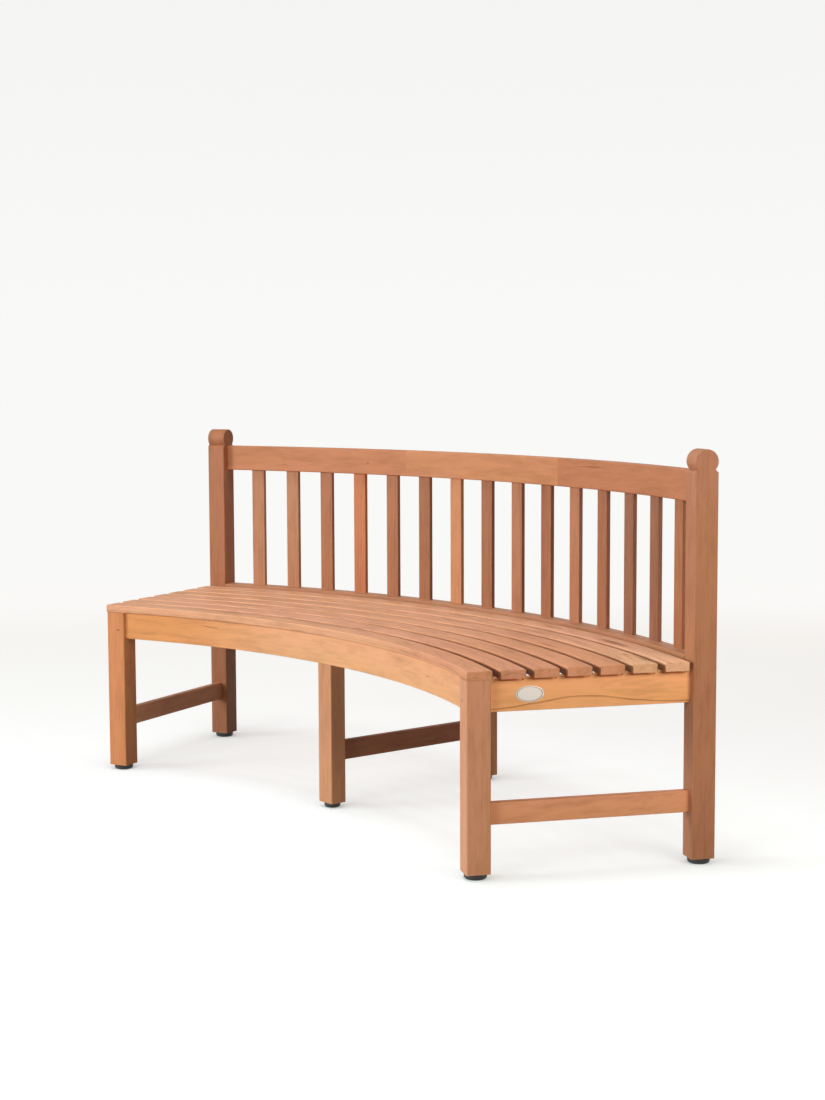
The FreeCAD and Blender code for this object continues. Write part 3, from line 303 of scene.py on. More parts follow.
world = bpy.data.worlds.new("studio")
bpy.context.scene.world = world
world.use_nodes = True
tree = world.node_tree
direction = tree.nodes.new("ShaderNodeTexCoord").outputs["Generated"]
steepness = split(tree, direction)["Z"]
wall = ramp(tree, steepness, [(0, WALL_FOOT), (WALL_TOP_HEIGHT, WALL_TOP)])
seen = seen_directly(tree)
background = tree.nodes["Background"]
put(tree, mix(tree, seen, ROOM_WHITE, wall), background.inputs["Color"])
put(tree, calculate(tree, "MULTIPLY_ADD", seen, 1 - ROOM_LEVEL, ROOM_LEVEL), background.inputs["Strength"])
print("wall from", round(WALL_FOOT[0], 3), "at its foot to", round(WALL_TOP[0], 3), "of full light")

# %% [markdown]
# The floor is one wide sheet of the same paper.

# %% Floor
FLOOR_SIZE = 60.0

bpy.ops.object.select_all(action="DESELECT")
bpy.ops.mesh.primitive_plane_add(size=FLOOR_SIZE)
floor = bpy.context.object
floor.name = "floor"
floor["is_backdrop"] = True
print("floor", FLOOR_SIZE, "metres wide")

# %% [markdown]
# A lit white sheet alone would give shadows that are far too dark. So the camera sees a steady pale tone
# plus a share of the really lit paper, and the steady tone gives up what the open paper adds. A small share
# makes faint wide shadows. Close to a foot and straight under a stretcher, where hardly any light gets in,
# the share grows and the steady tone itself is darkened there, a painted contact shadow that makes the
# shadow firm. About one and a half metres behind the bench the steady tone also dips a little, painted shade
# where the paper curves up into the wall. Far away only the steady tone is left, and it ends in the white of
# the wall's foot. All other light meets plain grey paper, which throws a soft bounce up under the seat.

# %% Paper on the floor
SHADOW_SHARE = 0.36
CONTACT_SHARE = 0.50
CONTACT_REACH = 0.26
PAINTED_CONTACT_SHADE = 0.40
OPEN_PAPER = 0.50
FLOOR_BOUNCE = (0.40, 0.40, 0.40, 1)
FLOOR_PAPER = (0.80, 0.99, 1.0, 1)
BLACK = (0, 0, 0, 1)
FLOOR_ROUGHNESS = 0.9
SHADOWS_END = (2.2, 4.5)
FLOOR_TONES = [  # metres behind the middle of the bench, as the camera looks
    (-0.4, colour(253, 249, 247)),
    (0.5, colour(252, 247, 245)),
    # The dip at this stop is painted shade where the paper curves up into the wall.
    (1.4, colour(250, 244, 241)),
    (2.6, colour(251, 246, 242)),
    (4.0, colour(250, 249, 247)),
    (6.0, WALL_FOOT),
]

material = bpy.data.materials.new("floor_paper")
material.use_nodes = True
tree = material.node_tree
point = object_point(tree)
seen = seen_directly(tree)

nook = tree.nodes.new("ShaderNodeAmbientOcclusion")
nook.inputs["Distance"].default_value = CONTACT_REACH
contact = one_minus(tree, nook.outputs["AO"])
lit_share = calculate(tree, "MULTIPLY_ADD", contact, CONTACT_SHARE, SHADOW_SHARE)
near = one_minus(tree, step(tree, vector_math(tree, "LENGTH", point), *SHADOWS_END))
lit_share = calculate(tree, "MULTIPLY", lit_share, near)

paper = tree.nodes["Principled BSDF"]
seen_paper = mix(tree, lit_share, BLACK, FLOOR_PAPER)
put(tree, mix(tree, seen, FLOOR_BOUNCE, seen_paper), paper.inputs["Base Color"])
paper.inputs["Roughness"].default_value = FLOOR_ROUGHNESS
paper.inputs["Specular IOR Level"].default_value = 0.0
behind = vector_math(tree, "DOT_PRODUCT", point, level_ahead)
put(tree, ramp(tree, behind, FLOOR_TONES), paper.inputs["Emission Color"])
# Painted contact shadow: the steady glow itself is darkened where ambient occlusion finds the bench close by.
steady = calculate(tree, "MULTIPLY_ADD", contact, -PAINTED_CONTACT_SHADE, 1.0)
steady = calculate(tree, "MULTIPLY_ADD", lit_share, -OPEN_PAPER, steady)
put(tree, calculate(tree, "MULTIPLY", seen, steady), paper.inputs["Emission Strength"])
floor.data.materials.append(material)
print("shadows fade out from", *SHADOWS_END, "metres")

# %% [markdown]
# Teak is a warm brown wood with a quiet figure. A board is a cut through the rings of a trunk: fine lines
# run the length of a face that stands square to the rings, and long arches show on a face that lies flat to
# them. It could be painted as an image for each face. Here the wood is solid instead: one group of nodes
# describes a trunk, and each board says where in that trunk it was sawn. Faces, edges and ends then
# agree at every corner, as they do on a real board.
#
# The rings come first. They are shells about a pith line that runs along the board, some way outside it.
# Slow noise bends them, because no tree grows straight, and chance gives each ring its own strength. Few
# rings are strong, which a power of the chance sees to.

# %% Rings of the trunk
RINGS_PER_METRE = 190.0
TAPER = 0.012
SLOW_BEND = ((1.6, 7, 7), (0, 0.034, 0.034))  # cycles per metre, then metres
FINE_BEND = ((14, 60, 60), (0, 0.0030, 0.0030))
YEARS_CYCLE = 0.22
YEARS_SHIFT = 6.0
LATE_WOOD = (0.25, 0.90)  # shares of a ring
RING_EDGE = (0.92, 1.0)
RING_POWER = 3.0
FAINTEST_RING = 0.2
MIDDLE_GREY = (0.5, 0.5, 0.5)


def noise(tree, point, cycles, detail=2.0, roughness=0.5, output="Fac"):
    """Soft noise. The cycles are per metre along, across and through the board."""
    made = tree.nodes.new("ShaderNodeTexNoise")
    made.inputs["Scale"].default_value = 1.0
    made.inputs["Detail"].default_value = detail
    made.inputs["Roughness"].default_value = roughness
    put(tree, vector_math(tree, "MULTIPLY", point, cycles), made.inputs["Vector"])
    return made.outputs[output]


def bent(tree, point, seeded, cycles, reach):
    """Move a point across the grain by slow noise."""
    drift = noise(tree, seeded, cycles, output="Color")
    drift = vector_math(tree, "MULTIPLY", vector_math(tree, "SUBTRACT", drift, MIDDLE_GREY), reach)
    return vector_math(tree, "ADD", point, drift)


def ring_count(tree, point, seeded):
    """How many rings lie between the pith and a point. Rings are wider in the trunk's good years."""
    point = bent(tree, point, seeded, *SLOW_BEND)
    point = bent(tree, point, seeded, *FINE_BEND)
    radius = vector_math(tree, "LENGTH", vector_math(tree, "MULTIPLY", point, (0, 1, 1)))
    radius = calculate(tree, "MULTIPLY_ADD", split(tree, point)["X"], TAPER, radius)
    count = calculate(tree, "MULTIPLY", radius, RINGS_PER_METRE)
    years = tree.nodes.new("ShaderNodeTexNoise")
    years.noise_dimensions = "1D"
    years.inputs["Scale"].default_value = YEARS_CYCLE
    tree.links.new(count, years.inputs["W"])
    return calculate(tree, "MULTIPLY_ADD", years.outputs["Fac"], YEARS_SHIFT, count)


def ring_lines(tree, count):
    """The dark late wood of each ring, from 0 to 1: it comes on slowly and ends sharply."""
    place = calculate(tree, "FRACT", count)
    late = step(tree, place, *LATE_WOOD)
    late = calculate(tree, "MULTIPLY", late, one_minus(tree, step(tree, place, *RING_EDGE)))
    chance = tree.nodes.new("ShaderNodeTexWhiteNoise")
    chance.noise_dimensions = "1D"
    tree.links.new(calculate(tree, "FLOOR", count), chance.inputs["W"])
    strength = calculate(tree, "POWER", chance.outputs["Value"], RING_POWER)
    strength = calculate(tree, "MULTIPLY_ADD", strength, 1 - FAINTEST_RING, FAINTEST_RING)
    return calculate(tree, "MULTIPLY", late, strength)


print("rings", round(1000 / RINGS_PER_METRE, 1), "mm apart")

# %% [markdown]
# The trunk is a group of nodes, as a factory of boards. A board gives it a point, the place of the pith, a
# seed, how much of each figure it shows and its tones, and gets back a colour, a roughness and a height. The
# same nodes could be copied into every board's material, but then each would be large and slow to load.

# %% The trunk as a group of nodes
def new_group(name, inputs, outputs):
    group = bpy.data.node_groups.new(name, "ShaderNodeTree")
    for label, kind in inputs:
        group.interface.new_socket(label, in_out="INPUT", socket_type="NodeSocket" + kind)
    for label, kind in outputs:
        group.interface.new_socket(label, in_out="OUTPUT", socket_type="NodeSocket" + kind)
    return group, group.nodes.new("NodeGroupInput").outputs, group.nodes.new("NodeGroupOutput").inputs


trunk, given, shown = new_group(
    "teak_trunk",
    [("Point", "Vector"), ("Pith", "Vector"), ("Seed", "Vector"), ("End", "Float"), ("Figure", "Float"),
     ("Streaks", "Float"), ("Flecks", "Float"), ("Marks", "Float"),
     ("Light", "Color"), ("Dark", "Color"), ("Patch", "Color")],
    [("Colour", "Color"), ("Roughness", "Float"), ("Height", "Float")])
print("the trunk takes", len(given) - 1, "inputs")

# %% [markdown]
# What the trunk is made of. Fibres are fine streaks along the grain, lines and flames are wider ones, and
# pores are short dark dashes. Heartwood also has long streaks of mineral, soft clouds, broad bands that are
# pinker than their neighbours, and here and there a dark fleck a centimetre or two long. Each is noise
# stretched along the board, at the size that it has on real teak. Some are cut off at a limit, so that only
# the peaks of the noise show.

# %% Patterns in the trunk
FLAME_BEND = ((5, 22, 22), (0, 0.012, 0.012))  # cycles per metre, then metres
PATTERNS = {  # cycles per metre along, across and through the board, detail, roughness
    "fibres": ((22, 900, 900), 3.0, 0.6),
    "lines": ((11, 150, 150), 3.0, 0.6),
    "flames": ((11, 60, 60), 3.0, 0.65),
    "pores": ((120, 2600, 2600), 1.0, 0.5),
    "streaks": ((1.7, 42, 42), 4.0, 0.6),
    "flecks": ((38, 420, 420), 1.0, 0.5),
    "bands": ((0.9, 13, 13), 3.0, 0.55),
    "clouds": ((4.5, 22, 22), 2.0, 0.5),
}
LIMITS = {"pores": (0.62, 0.74), "streaks": (0.60, 0.78), "flecks": (0.70, 0.80), "bands": (0.36, 0.64)}

seeded = vector_math(trunk, "ADD", given["Point"], given["Seed"])
seeded = vector_math(trunk, "ADD", bent(trunk, given["Point"], seeded, *FLAME_BEND), given["Seed"])
count = ring_count(trunk, vector_math(trunk, "SUBTRACT", given["Point"], given["Pith"]), seeded)
rings = ring_lines(trunk, count)
patterns = {name: noise(trunk, seeded, *setting) for name, setting in PATTERNS.items()}
for name, limits in LIMITS.items():
    patterns[name] = step(trunk, patterns[name], *limits)
print(len(patterns), "patterns")

# %% [markdown]
# What darkens the wood is added up as one number, from 0 for the board's light tone to 1 for its dark one.
# The weights say how much each part of the figure shows. On this bench it is faint: smooth, sanded boards
# with broad soft bands. End grain is hardly darker than the faces, because the ends are sanded too.

# %% Colour, roughness and height of the wood
DARKENING = {"fibres": 0.30, "lines": 0.28, "flames": 0.95, "clouds": 0.60}
EVEN_DARKENING = 0.05
PORE_DARKENING = 0.12
END_DARKENING = 0.02
ROUGHNESS = 0.46
FIBRE_ROUGHNESS = 0.16
PORE_ROUGHNESS = 0.12
END_ROUGHNESS = 0.14
PORE_HEIGHT = -0.8
FIBRE_HEIGHT = 0.5
RING_HEIGHT = 0.35


def around_zero(tree, value, weight, total):
    """Add a noise so that its average changes nothing."""
    return calculate(tree, "MULTIPLY_ADD", calculate(tree, "SUBTRACT", value, 0.5), weight, total)


dark = calculate(trunk, "MULTIPLY", rings, given["Figure"])
dark = calculate(trunk, "MULTIPLY_ADD", patterns["streaks"], given["Streaks"], dark)
dark = calculate(trunk, "MULTIPLY_ADD", patterns["flecks"], given["Flecks"], dark)
dark = calculate(trunk, "ADD", dark, given["Marks"])
dark = calculate(trunk, "MULTIPLY_ADD", patterns["pores"], PORE_DARKENING, dark)
dark = calculate(trunk, "MULTIPLY_ADD", given["End"], END_DARKENING, dark)
for name, weight in DARKENING.items():
    dark = around_zero(trunk, patterns[name], weight, dark)
dark = calculate(trunk, "ADD", dark, EVEN_DARKENING)
clamp = trunk.nodes.new("ShaderNodeClamp")
trunk.links.new(dark, clamp.inputs["Value"])
banded = mix(trunk, patterns["bands"], given["Light"], given["Patch"])
trunk.links.new(mix(trunk, clamp.outputs[0], banded, given["Dark"]), shown["Colour"])

rough = calculate(trunk, "MULTIPLY_ADD", patterns["fibres"], FIBRE_ROUGHNESS, ROUGHNESS)
rough = calculate(trunk, "MULTIPLY_ADD", patterns["pores"], PORE_ROUGHNESS, rough)
rough = calculate(trunk, "MULTIPLY_ADD", given["End"], END_ROUGHNESS, rough)
trunk.links.new(rough, shown["Roughness"])
height = calculate(trunk, "MULTIPLY", patterns["fibres"], FIBRE_HEIGHT)
height = calculate(trunk, "MULTIPLY_ADD", patterns["pores"], PORE_HEIGHT, height)
height = calculate(trunk, "MULTIPLY_ADD", rings, RING_HEIGHT, height)
trunk.links.new(height, shown["Height"])
print(len(trunk.nodes), "nodes in the trunk")

# %% [markdown]
# A board's own axes: X along the grain, Y across the broad face, Z through the thickness, with the origin
# in the board's middle. All the bench's meshes share one set of coordinates, so without this step every
# board would be sawn along the same line. For a straight stick a Mapping node of the Texture kind takes
# away the stick's place and turn. A curved board follows a circle, so its point is worked out from the angle
# and the distance to the arc's centre, and the grain follows the curve.

# %% Places in straight and curved boards
def straight_place(along, across, middle):
    """A function that gives a straight stick's own coordinates and its grain direction."""
    along, across = Vector(along).normalized(), Vector(across).normalized()
    turn = Matrix((along, across, along.cross(across))).transposed().to_euler()

    def place(tree):
        mapping = tree.nodes.new("ShaderNodeMapping")
        mapping.vector_type = "TEXTURE"
        mapping.inputs["Location"].default_value = middle
        mapping.inputs["Rotation"].default_value = turn
        tree.links.new(object_point(tree), mapping.inputs["Vector"])
        return mapping.outputs[0], tuple(along)
    return place


def curved_place(radius, rise, upright):
    """The same for a curved board. An upright board stands on edge, and a seat slat lies flat."""

    def place(tree):
        mapping = tree.nodes.new("ShaderNodeMapping")
        mapping.vector_type = "TEXTURE"
        mapping.inputs["Location"].default_value = (0, arc_centre.y, rise)
        tree.links.new(object_point(tree), mapping.inputs["Vector"])
        parts = split(tree, mapping.outputs[0])
        angle = calculate(tree, "ARCTAN2", parts["X"], parts["Y"])
        along = calculate(tree, "MULTIPLY", angle, radius)
        level = vector_math(tree, "LENGTH", vector_math(tree, "MULTIPLY", mapping.outputs[0], (1, 1, 0)))
        out = calculate(tree, "SUBTRACT", level, radius)
        point = join(tree, along, parts["Z"], out) if upright else join(tree, along, out, parts["Z"])
        sideways = calculate(tree, "MULTIPLY", calculate(tree, "SINE", angle), -1.0)
        return point, join(tree, calculate(tree, "COSINE", angle), sideways, 0.0)
    return place


print("curved boards are turned about", tuple(round(part, 3) for part in arc_centre))

# %% [markdown]
# A few boards carry a mark that one notices: a growth line that arches along the side rail, or a dark streak
# in the seat. Noise can't be told where to put such a thing. Each mark is therefore a small sum of its own
# in the board's coordinates, and its soft edge is broken up by a little noise so that it looks grown. The
# long sides of the slats down in the gaps are darkened the same way, with painted shade that stands in for
# the shadow there.

# %% Marks and painted gap shade in a board
STREAK_NOISE = (30, 300, 300)
STREAK_RAGGED = 0.9
STREAK_EDGE = (0.2, 1.0)
# Painted shade on the seat slats' long sides in the gaps: where it starts and ends inside the slat's edge,
# and the heights above the slat's middle over which it fades out below the lit rounding.
GAP_SHADE_START = 0.0022  # inside the slat's edge
GAP_SHADE_END = 0.0004
GAP_SHADE_FADE = (0.002, 0.0085)  # above the slat's middle
LINE_NOISE = ((14, 0, 0), (0, 0.004, 0))


def streak(middle, length, width, strength, lean=0.0):
    """A dark streak along the grain: the place of its middle on the board, its size and how it leans."""

    def mark(tree, point):
        parts = split(tree, point)
        from_middle = calculate(tree, "SUBTRACT", parts["X"], middle[0])
        along = calculate(tree, "DIVIDE", from_middle, length / 2)
        line = calculate(tree, "MULTIPLY_ADD", from_middle, lean, middle[1])
        across = calculate(tree, "DIVIDE", calculate(tree, "SUBTRACT", parts["Y"], line), width / 2)
        away = vector_math(tree, "LENGTH", join(tree, along, across, 0.0))
        away = around_zero(tree, noise(tree, point, STREAK_NOISE), STREAK_RAGGED, away)
        return calculate(tree, "MULTIPLY", one_minus(tree, step(tree, away, *STREAK_EDGE)), strength)
    return mark


def painted_gap_shade(half_width, front):
    """Painted shade on a slat's sides below the rounding: the rear one, and the front one if it faces a gap.
    """

    def mark(tree, point):
        parts = split(tree, point)
        place = calculate(tree, "ABSOLUTE", parts["Y"]) if front else parts["Y"]
        side = step(tree, place, half_width - GAP_SHADE_START, half_width - GAP_SHADE_END)
        return calculate(tree, "MULTIPLY", side, one_minus(tree, step(tree, parts["Z"], *GAP_SHADE_FADE)))
    return mark


def growth_line(peak, drop, reach, width, strength):
    """The edge of one dark ring. It arches up to its peak on the board and falls away to both sides."""

    def mark(tree, point):
        parts = split(tree, bent(tree, point, point, *LINE_NOISE))
        away = calculate(tree, "DIVIDE", calculate(tree, "SUBTRACT", parts["X"], peak[0]), reach)
        away = calculate(tree, "MULTIPLY", away, away)
        fall = calculate(tree, "POWER", math.e, calculate(tree, "MULTIPLY", away, -1.0))
        line = calculate(tree, "MULTIPLY_ADD", one_minus(tree, fall), -drop, peak[1])
        above = calculate(tree, "SUBTRACT", parts["Y"], line)
        soft_side = step(tree, above, -width, 0.0)
        sharp_side = one_minus(tree, step(tree, above, 0.0, width / 5))
        return calculate(tree, "MULTIPLY", calculate(tree, "MULTIPLY", soft_side, sharp_side), strength)
    return mark


RAIL_LINE = growth_line(peak=(-0.023, -0.0090), drop=0.021, reach=0.120, width=0.0050, strength=0.80)
print("three kinds of mark")

# %% [markdown]
# The tones of one board. It has a plain tone, a dark one for its figure and a pinker one for its bands, and
# the last two are the first times three factors, so one colour describes a board. A long board also changes
# its tone from end to end, and a drift blends to a second tone between two places.

# %% Tones within a board
PLAIN = (1, 1, 1)
DARKER = (0.48, 0.38, 0.32)
# The seat's dark tone, used for its figure and for the painted shade on the slats' sides in the gaps.
SEAT_DARK_AND_GAP_SHADE = (0.38, 0.28, 0.22)
PINKER = (1.06, 1.04, 1.16)


def shifted(tone, factors):
    return (*(min(part * factor, 1.0) for part, factor in zip(tone, factors)), 1)


def drifting(tree, point, tone, factors, drift):
    """The tone of a board. A drift is another tone, and where the blend to it starts and ends."""
    tone = shifted(tone, factors)
    if drift is None:
        return tone
    end_tone, start, end = drift
    return mix(tree, step(tree, split(tree, point)["X"], start, end), tone, shifted(end_tone, factors))


print("the figure keeps", round(DARKER[1] * 100), "per cent of a tone's green")

# %% [markdown]
# The finish of one board. The bench is sanded and not oiled, so the surface is nearly matt, a little
# smoother on the hard late wood than over the pores, and the bump is a fraction of a millimetre deep. Each
# material gets the trunk, a place in it, a tone and a seed. One material for all the boards would be
# shorter, but real boards come from different trees, and their tones are what one sees first. A saw never
# follows the grain exactly, so chance leans each board's grain a little to the side.

# %% A piece of teak
GRAIN_LEAN = 0.035  # metres sideways for each metre along
END_GRAIN = (0.6, 0.95)
GRAIN_DEPTH = 0.00035
GRAIN_STRENGTH = 0.6
SHEEN_OF_SANDED_WOOD = 0.25
SEED_REACH = 40


def teak(name, place, tone, pith, figure=0.30, streaks=0.25, flecks=0.0, marks=(), drift=None,
         darker=DARKER):
    """Give a node a board of its own: its place and tone, how it lies to the pith, and how much it shows."""
    made = bpy.data.materials.new(name + "_teak")
    made.use_nodes = True
    tree = made.node_tree
    shader = tree.nodes["Principled BSDF"]
    wood = tree.nodes.new("ShaderNodeGroup")
    wood.node_tree = trunk
    point, grain = place(tree)
    chance = random.Random(name)
    wood.inputs["Seed"].default_value = [chance.uniform(-SEED_REACH, SEED_REACH) for axis in range(3)]
    leans = [chance.uniform(-GRAIN_LEAN, GRAIN_LEAN) for axis in range(2)]
    along = split(tree, point)["X"]
    sideways = join(tree, 0.0, *(calculate(tree, "MULTIPLY", along, lean) for lean in leans))
    tree.links.new(vector_math(tree, "ADD", point, sideways), wood.inputs["Point"])
    normal = tree.nodes.new("ShaderNodeTexCoord").outputs["Normal"]
    facing = calculate(tree, "ABSOLUTE", vector_math(tree, "DOT_PRODUCT", normal, grain))
    tree.links.new(step(tree, facing, *END_GRAIN), wood.inputs["End"])
    wood.inputs["Pith"].default_value = pith
    wood.inputs["Figure"].default_value = figure
    wood.inputs["Streaks"].default_value = streaks
    wood.inputs["Flecks"].default_value = flecks
    for kind, factors in (("Light", PLAIN), ("Dark", darker), ("Patch", PINKER)):
        put(tree, drifting(tree, point, tone, factors, drift), wood.inputs[kind])
    total = 0.0
    for mark in marks:
        total = calculate(tree, "ADD", mark(tree, point), total)
    put(tree, total, wood.inputs["Marks"])
    bump = tree.nodes.new("ShaderNodeBump")
    bump.inputs["Strength"].default_value = GRAIN_STRENGTH
    bump.inputs["Distance"].default_value = GRAIN_DEPTH
    tree.links.new(wood.outputs["Height"], bump.inputs["Height"])
    tree.links.new(wood.outputs["Colour"], shader.inputs["Base Color"])
    tree.links.new(wood.outputs["Roughness"], shader.inputs["Roughness"])
    tree.links.new(bump.outputs[0], shader.inputs["Normal"])
    shader.inputs["Specular IOR Level"].default_value = SHEEN_OF_SANDED_WOOD
    nodes[name].material_slots[0].material = made


print("the grain leans by up to", round(math.degrees(math.atan(GRAIN_LEAN)), 1), "degrees")

# %% [markdown]
# Sorts of board. A joiner takes what the pile gives: pale, honey-coloured boards for the apron and the side
# rails, pinkish ones for the seat, and browner ones for the posts and most of the back. Each tone has a
# name, so a board's line below says which sort it is. How a board lies in the trunk gives its figure: flat
# sawn boards show arches on the broad face, and rift sawn ones, cut on the slant, show straighter lines on
# all four faces, which suits legs and slats.

# %% Tones of the boards and places in the trunk
HONEY = colour(236, 176, 122)
AMBER = colour(228, 156, 92)
GOLD = colour(247, 181, 117)
ROSE = colour(230, 170, 127)
PEACH = colour(219, 155, 112)
CARAMEL = colour(214, 142, 88)
TAN = colour(211, 152, 110)
BROWN = colour(180, 124, 87)
BARK = colour(172, 114, 76)
RUSSET = colour(191, 128, 85)
UMBER = colour(165, 109, 74)
PLUM = colour(154, 105, 78)
ORANGE = colour(196, 124, 80)
SAND = colour(204, 142, 98)
HAZEL = colour(184, 130, 91)
RUST = colour(230, 163, 116)
STRAW = colour(232, 182, 136)
FAWN = colour(200, 138, 93)
COPPER = colour(185, 123, 81)

FLAT_SAWN = (0, 0.012, -0.075)
RIFT_SAWN = (0, 0.07, -0.06)
print("the pith lies", round(Vector(FLAT_SAWN).length * 1000), "or", round(Vector(RIFT_SAWN).length * 1000),
      "mm from a board's middle")

# %% [markdown]
# Legs and posts are straight square sticks with upright grain. The front left leg is the yellowest of them
# and the rear left post the brownest.

# %% Legs and posts
UPRIGHTS = {
    "front_leg_left": CARAMEL, "front_leg_middle": TAN, "front_leg_right": TAN,
    "rear_post_left": BARK, "rear_leg_middle": TAN, "rear_post_right": BROWN,
}
for name, tone in UPRIGHTS.items():
    angle = FRAME_ANGLE * SIDES[name.split("_")[-1]]
    teak(name, straight_place(UP, along_bench(angle), middle_of(name)), tone, RIFT_SAWN, figure=0.15,
         streaks=0.45, flecks=0.25)
print(len(UPRIGHTS), "legs and posts")

# %% [markdown]
# The side rails, the rail under the middle of the seat and the stretchers run from front to back, and so
# does their grain. The right side rail carries the one strong mark of the bench, the dark growth line that
# arches along its face. The stretchers have short flecks, as coarser boards do.

# %% Rails and stretchers
CROSSWISE = {
    "side_rail_left": GOLD, "cross_rail_middle": TAN, "side_rail_right": GOLD,
    "stretcher_left": RUST, "stretcher_middle": UMBER, "stretcher_right": RUST,
}
for name, tone in CROSSWISE.items():
    angle = FRAME_ANGLE * SIDES[name.split("_")[-1]]
    marks = [RAIL_LINE] if name == "side_rail_right" else []
    flecks = 0.35 if name.startswith("stretcher") else 0.0
    teak(name, straight_place(outward(angle), UP, middle_of(name)), tone, FLAT_SAWN, figure=0.20,
         flecks=flecks, marks=marks)
print(len(CROSSWISE), "rails and stretchers")

# %% [markdown]
# The aprons, the lower back rail and the three parts of the top rail are cut to the curve and stand on
# edge. On the real bench a curved board is sawn from a wide plank and its grain runs out at the ends. Here
# the grain follows the curve, which looks the same on boards this long and keeps the lines of figure level.
# The apron gets yellower towards its left end, and it and two parts of the top rail have a dark streak.

# %% Curved boards that stand on edge
BOARD_STREAKS = {
    "front_apron": (streak((-0.43, 0.016), 0.10, 0.004, 0.8, lean=-0.06),
                    streak((0.50, 0.002), 0.04, 0.004, 0.6)),
    "top_rail_right": (streak((0.45, 0.019), 0.16, 0.006, 0.7, lean=0.02),),
    "top_rail_left": (streak((-0.41, -0.003), 0.012, 0.006, 0.7),),
}
CURVED = {
    "front_apron": HONEY, "rear_apron": TAN, "lower_back_rail": HAZEL,
    "top_rail_left": RUSSET, "top_rail_middle": FAWN, "top_rail_right": COPPER,
}
for name, tone in CURVED.items():
    low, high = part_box(name)
    radius = (Vector((high.x, low.y, 0)) - arc_centre).length
    drift = (AMBER, -0.10, -0.60) if name == "front_apron" else None
    teak(name, curved_place(radius, (low.z + high.z) / 2, upright=True), tone, FLAT_SAWN, figure=0.14,
         marks=BOARD_STREAKS.get(name, ()), drift=drift)
print(len(CURVED), "curved boards")

# %% [markdown]
# The seat. Its seven slats lie flat, and they are what one sees most of the wood's own drawing on: soft pink
# and orange bands with short dark flecks in them, and a few long streaks on the slats towards the back.
# Towards the right end they turn a little browner, apart from the last two, which turn to straw there.

# %% Seat slats
SEAT_SLATS = 7
HALF_SLAT = 0.0285
SLATS_TO_STRAW = (6, 7)
SLAT_STREAKS = {
    "seat_slat_3": (streak((0.10, 0.010), 0.14, 0.008, 0.7), streak((-0.35, -0.012), 0.10, 0.006, 0.6)),
    "seat_slat_4": (streak((0.52, 0.018), 0.20, 0.010, 0.8), streak((-0.10, 0.0), 0.12, 0.007, 0.6)),
    "seat_slat_5": (streak((0.58, -0.018), 0.16, 0.010, 0.8), streak((0.12, 0.014), 0.16, 0.008, 0.6)),
    "seat_slat_6": (streak((0.88, 0.020), 0.12, 0.018, 0.8), streak((0.40, -0.010), 0.14, 0.008, 0.7)),
    "seat_slat_7": (streak((0.66, -0.010), 0.20, 0.034, 0.9), streak((0.36, 0.0), 0.14, 0.024, 0.7)),
}

for number in range(1, SEAT_SLATS + 1):
    name = "seat_slat_%d" % number
    low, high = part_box(name)
    radius = high.y - arc_centre.y - HALF_SLAT
    # The first mark is painted shade on the slats' sides in the gaps; the streaks are the wood's own.
    marks = (painted_gap_shade(HALF_SLAT, front=number > 1), *SLAT_STREAKS.get(name, ()))
    drift = (STRAW, 0.62, 0.92) if number in SLATS_TO_STRAW else (PEACH, 0.10, 0.60)
    teak(name, curved_place(radius, (low.z + high.z) / 2, upright=False), ROSE, FLAT_SAWN, streaks=0.60,
         flecks=0.60, marks=marks, drift=drift, darker=SEAT_DARK_AND_GAP_SHADE)
print(SEAT_SLATS, "seat slats")

# %% [markdown]
# The back slats were cut from whatever was at hand, so their tones jump from one to the next: the fourth is
# orange and the seventh the palest.

# %% Back slats
BACK_TONES = (HAZEL, HAZEL, BARK, ORANGE, BARK, UMBER, SAND, UMBER, BROWN, UMBER, BROWN, UMBER, PLUM, PLUM,
              BARK)

for number, tone in enumerate(BACK_TONES, start=1):
    name = "back_slat_%02d" % number
    middle = middle_of(name)
    angle = math.atan2(middle.x, middle.y - arc_centre.y)
    teak(name, straight_place(UP, along_bench(angle), middle), tone, RIFT_SAWN)
print(len(BACK_TONES), "back slats")

# %% [markdown]
# Dowels and pegs are turned from darker offcuts. Only the end of a peg shows, as a small brown dot on the
# face of each front leg.

# %% Dowels and pegs
PEG_BROWN = colour(150, 98, 66)
HIDDEN = ("seat_dowels", "apron_pegs", "top_rail_dowels", "middle_leg_dowels")

for name in HIDDEN:
    teak(name, straight_place(UP, (1, 0, 0), middle_of(name)), PEG_BROWN, RIFT_SAWN)
print(len(HIDDEN), "sets of pegs and dowels")

# %% [markdown]
# The glides under the legs are black moulded plastic. Moulded plastic is never one flat colour: it has a
# fine grain from the mould, and the edge that drags over the floor is scuffed grey. The scuffs could be a
# second material on the lowest faces, but they fade upwards, so the height above the floor decides.

# %% Glides
GLIDE_BLACK = colour(30, 29, 30)
GLIDE_GREY = colour(86, 84, 82)
GLIDE_SPECK = (1400, 1400, 1400)
GLIDE_BLOTCHES = (160, 160, 90)
SCUFFED = (0.42, 0.66)
SCUFF_HEIGHT = (0.0005, 0.005)
SCUFF_SHARE = 0.7
SPECK_SHARE = 0.12
GLIDE_ROUGHNESS = 0.45
SCUFF_ROUGHNESS = 0.25
SPECK_DEPTH = 0.0001


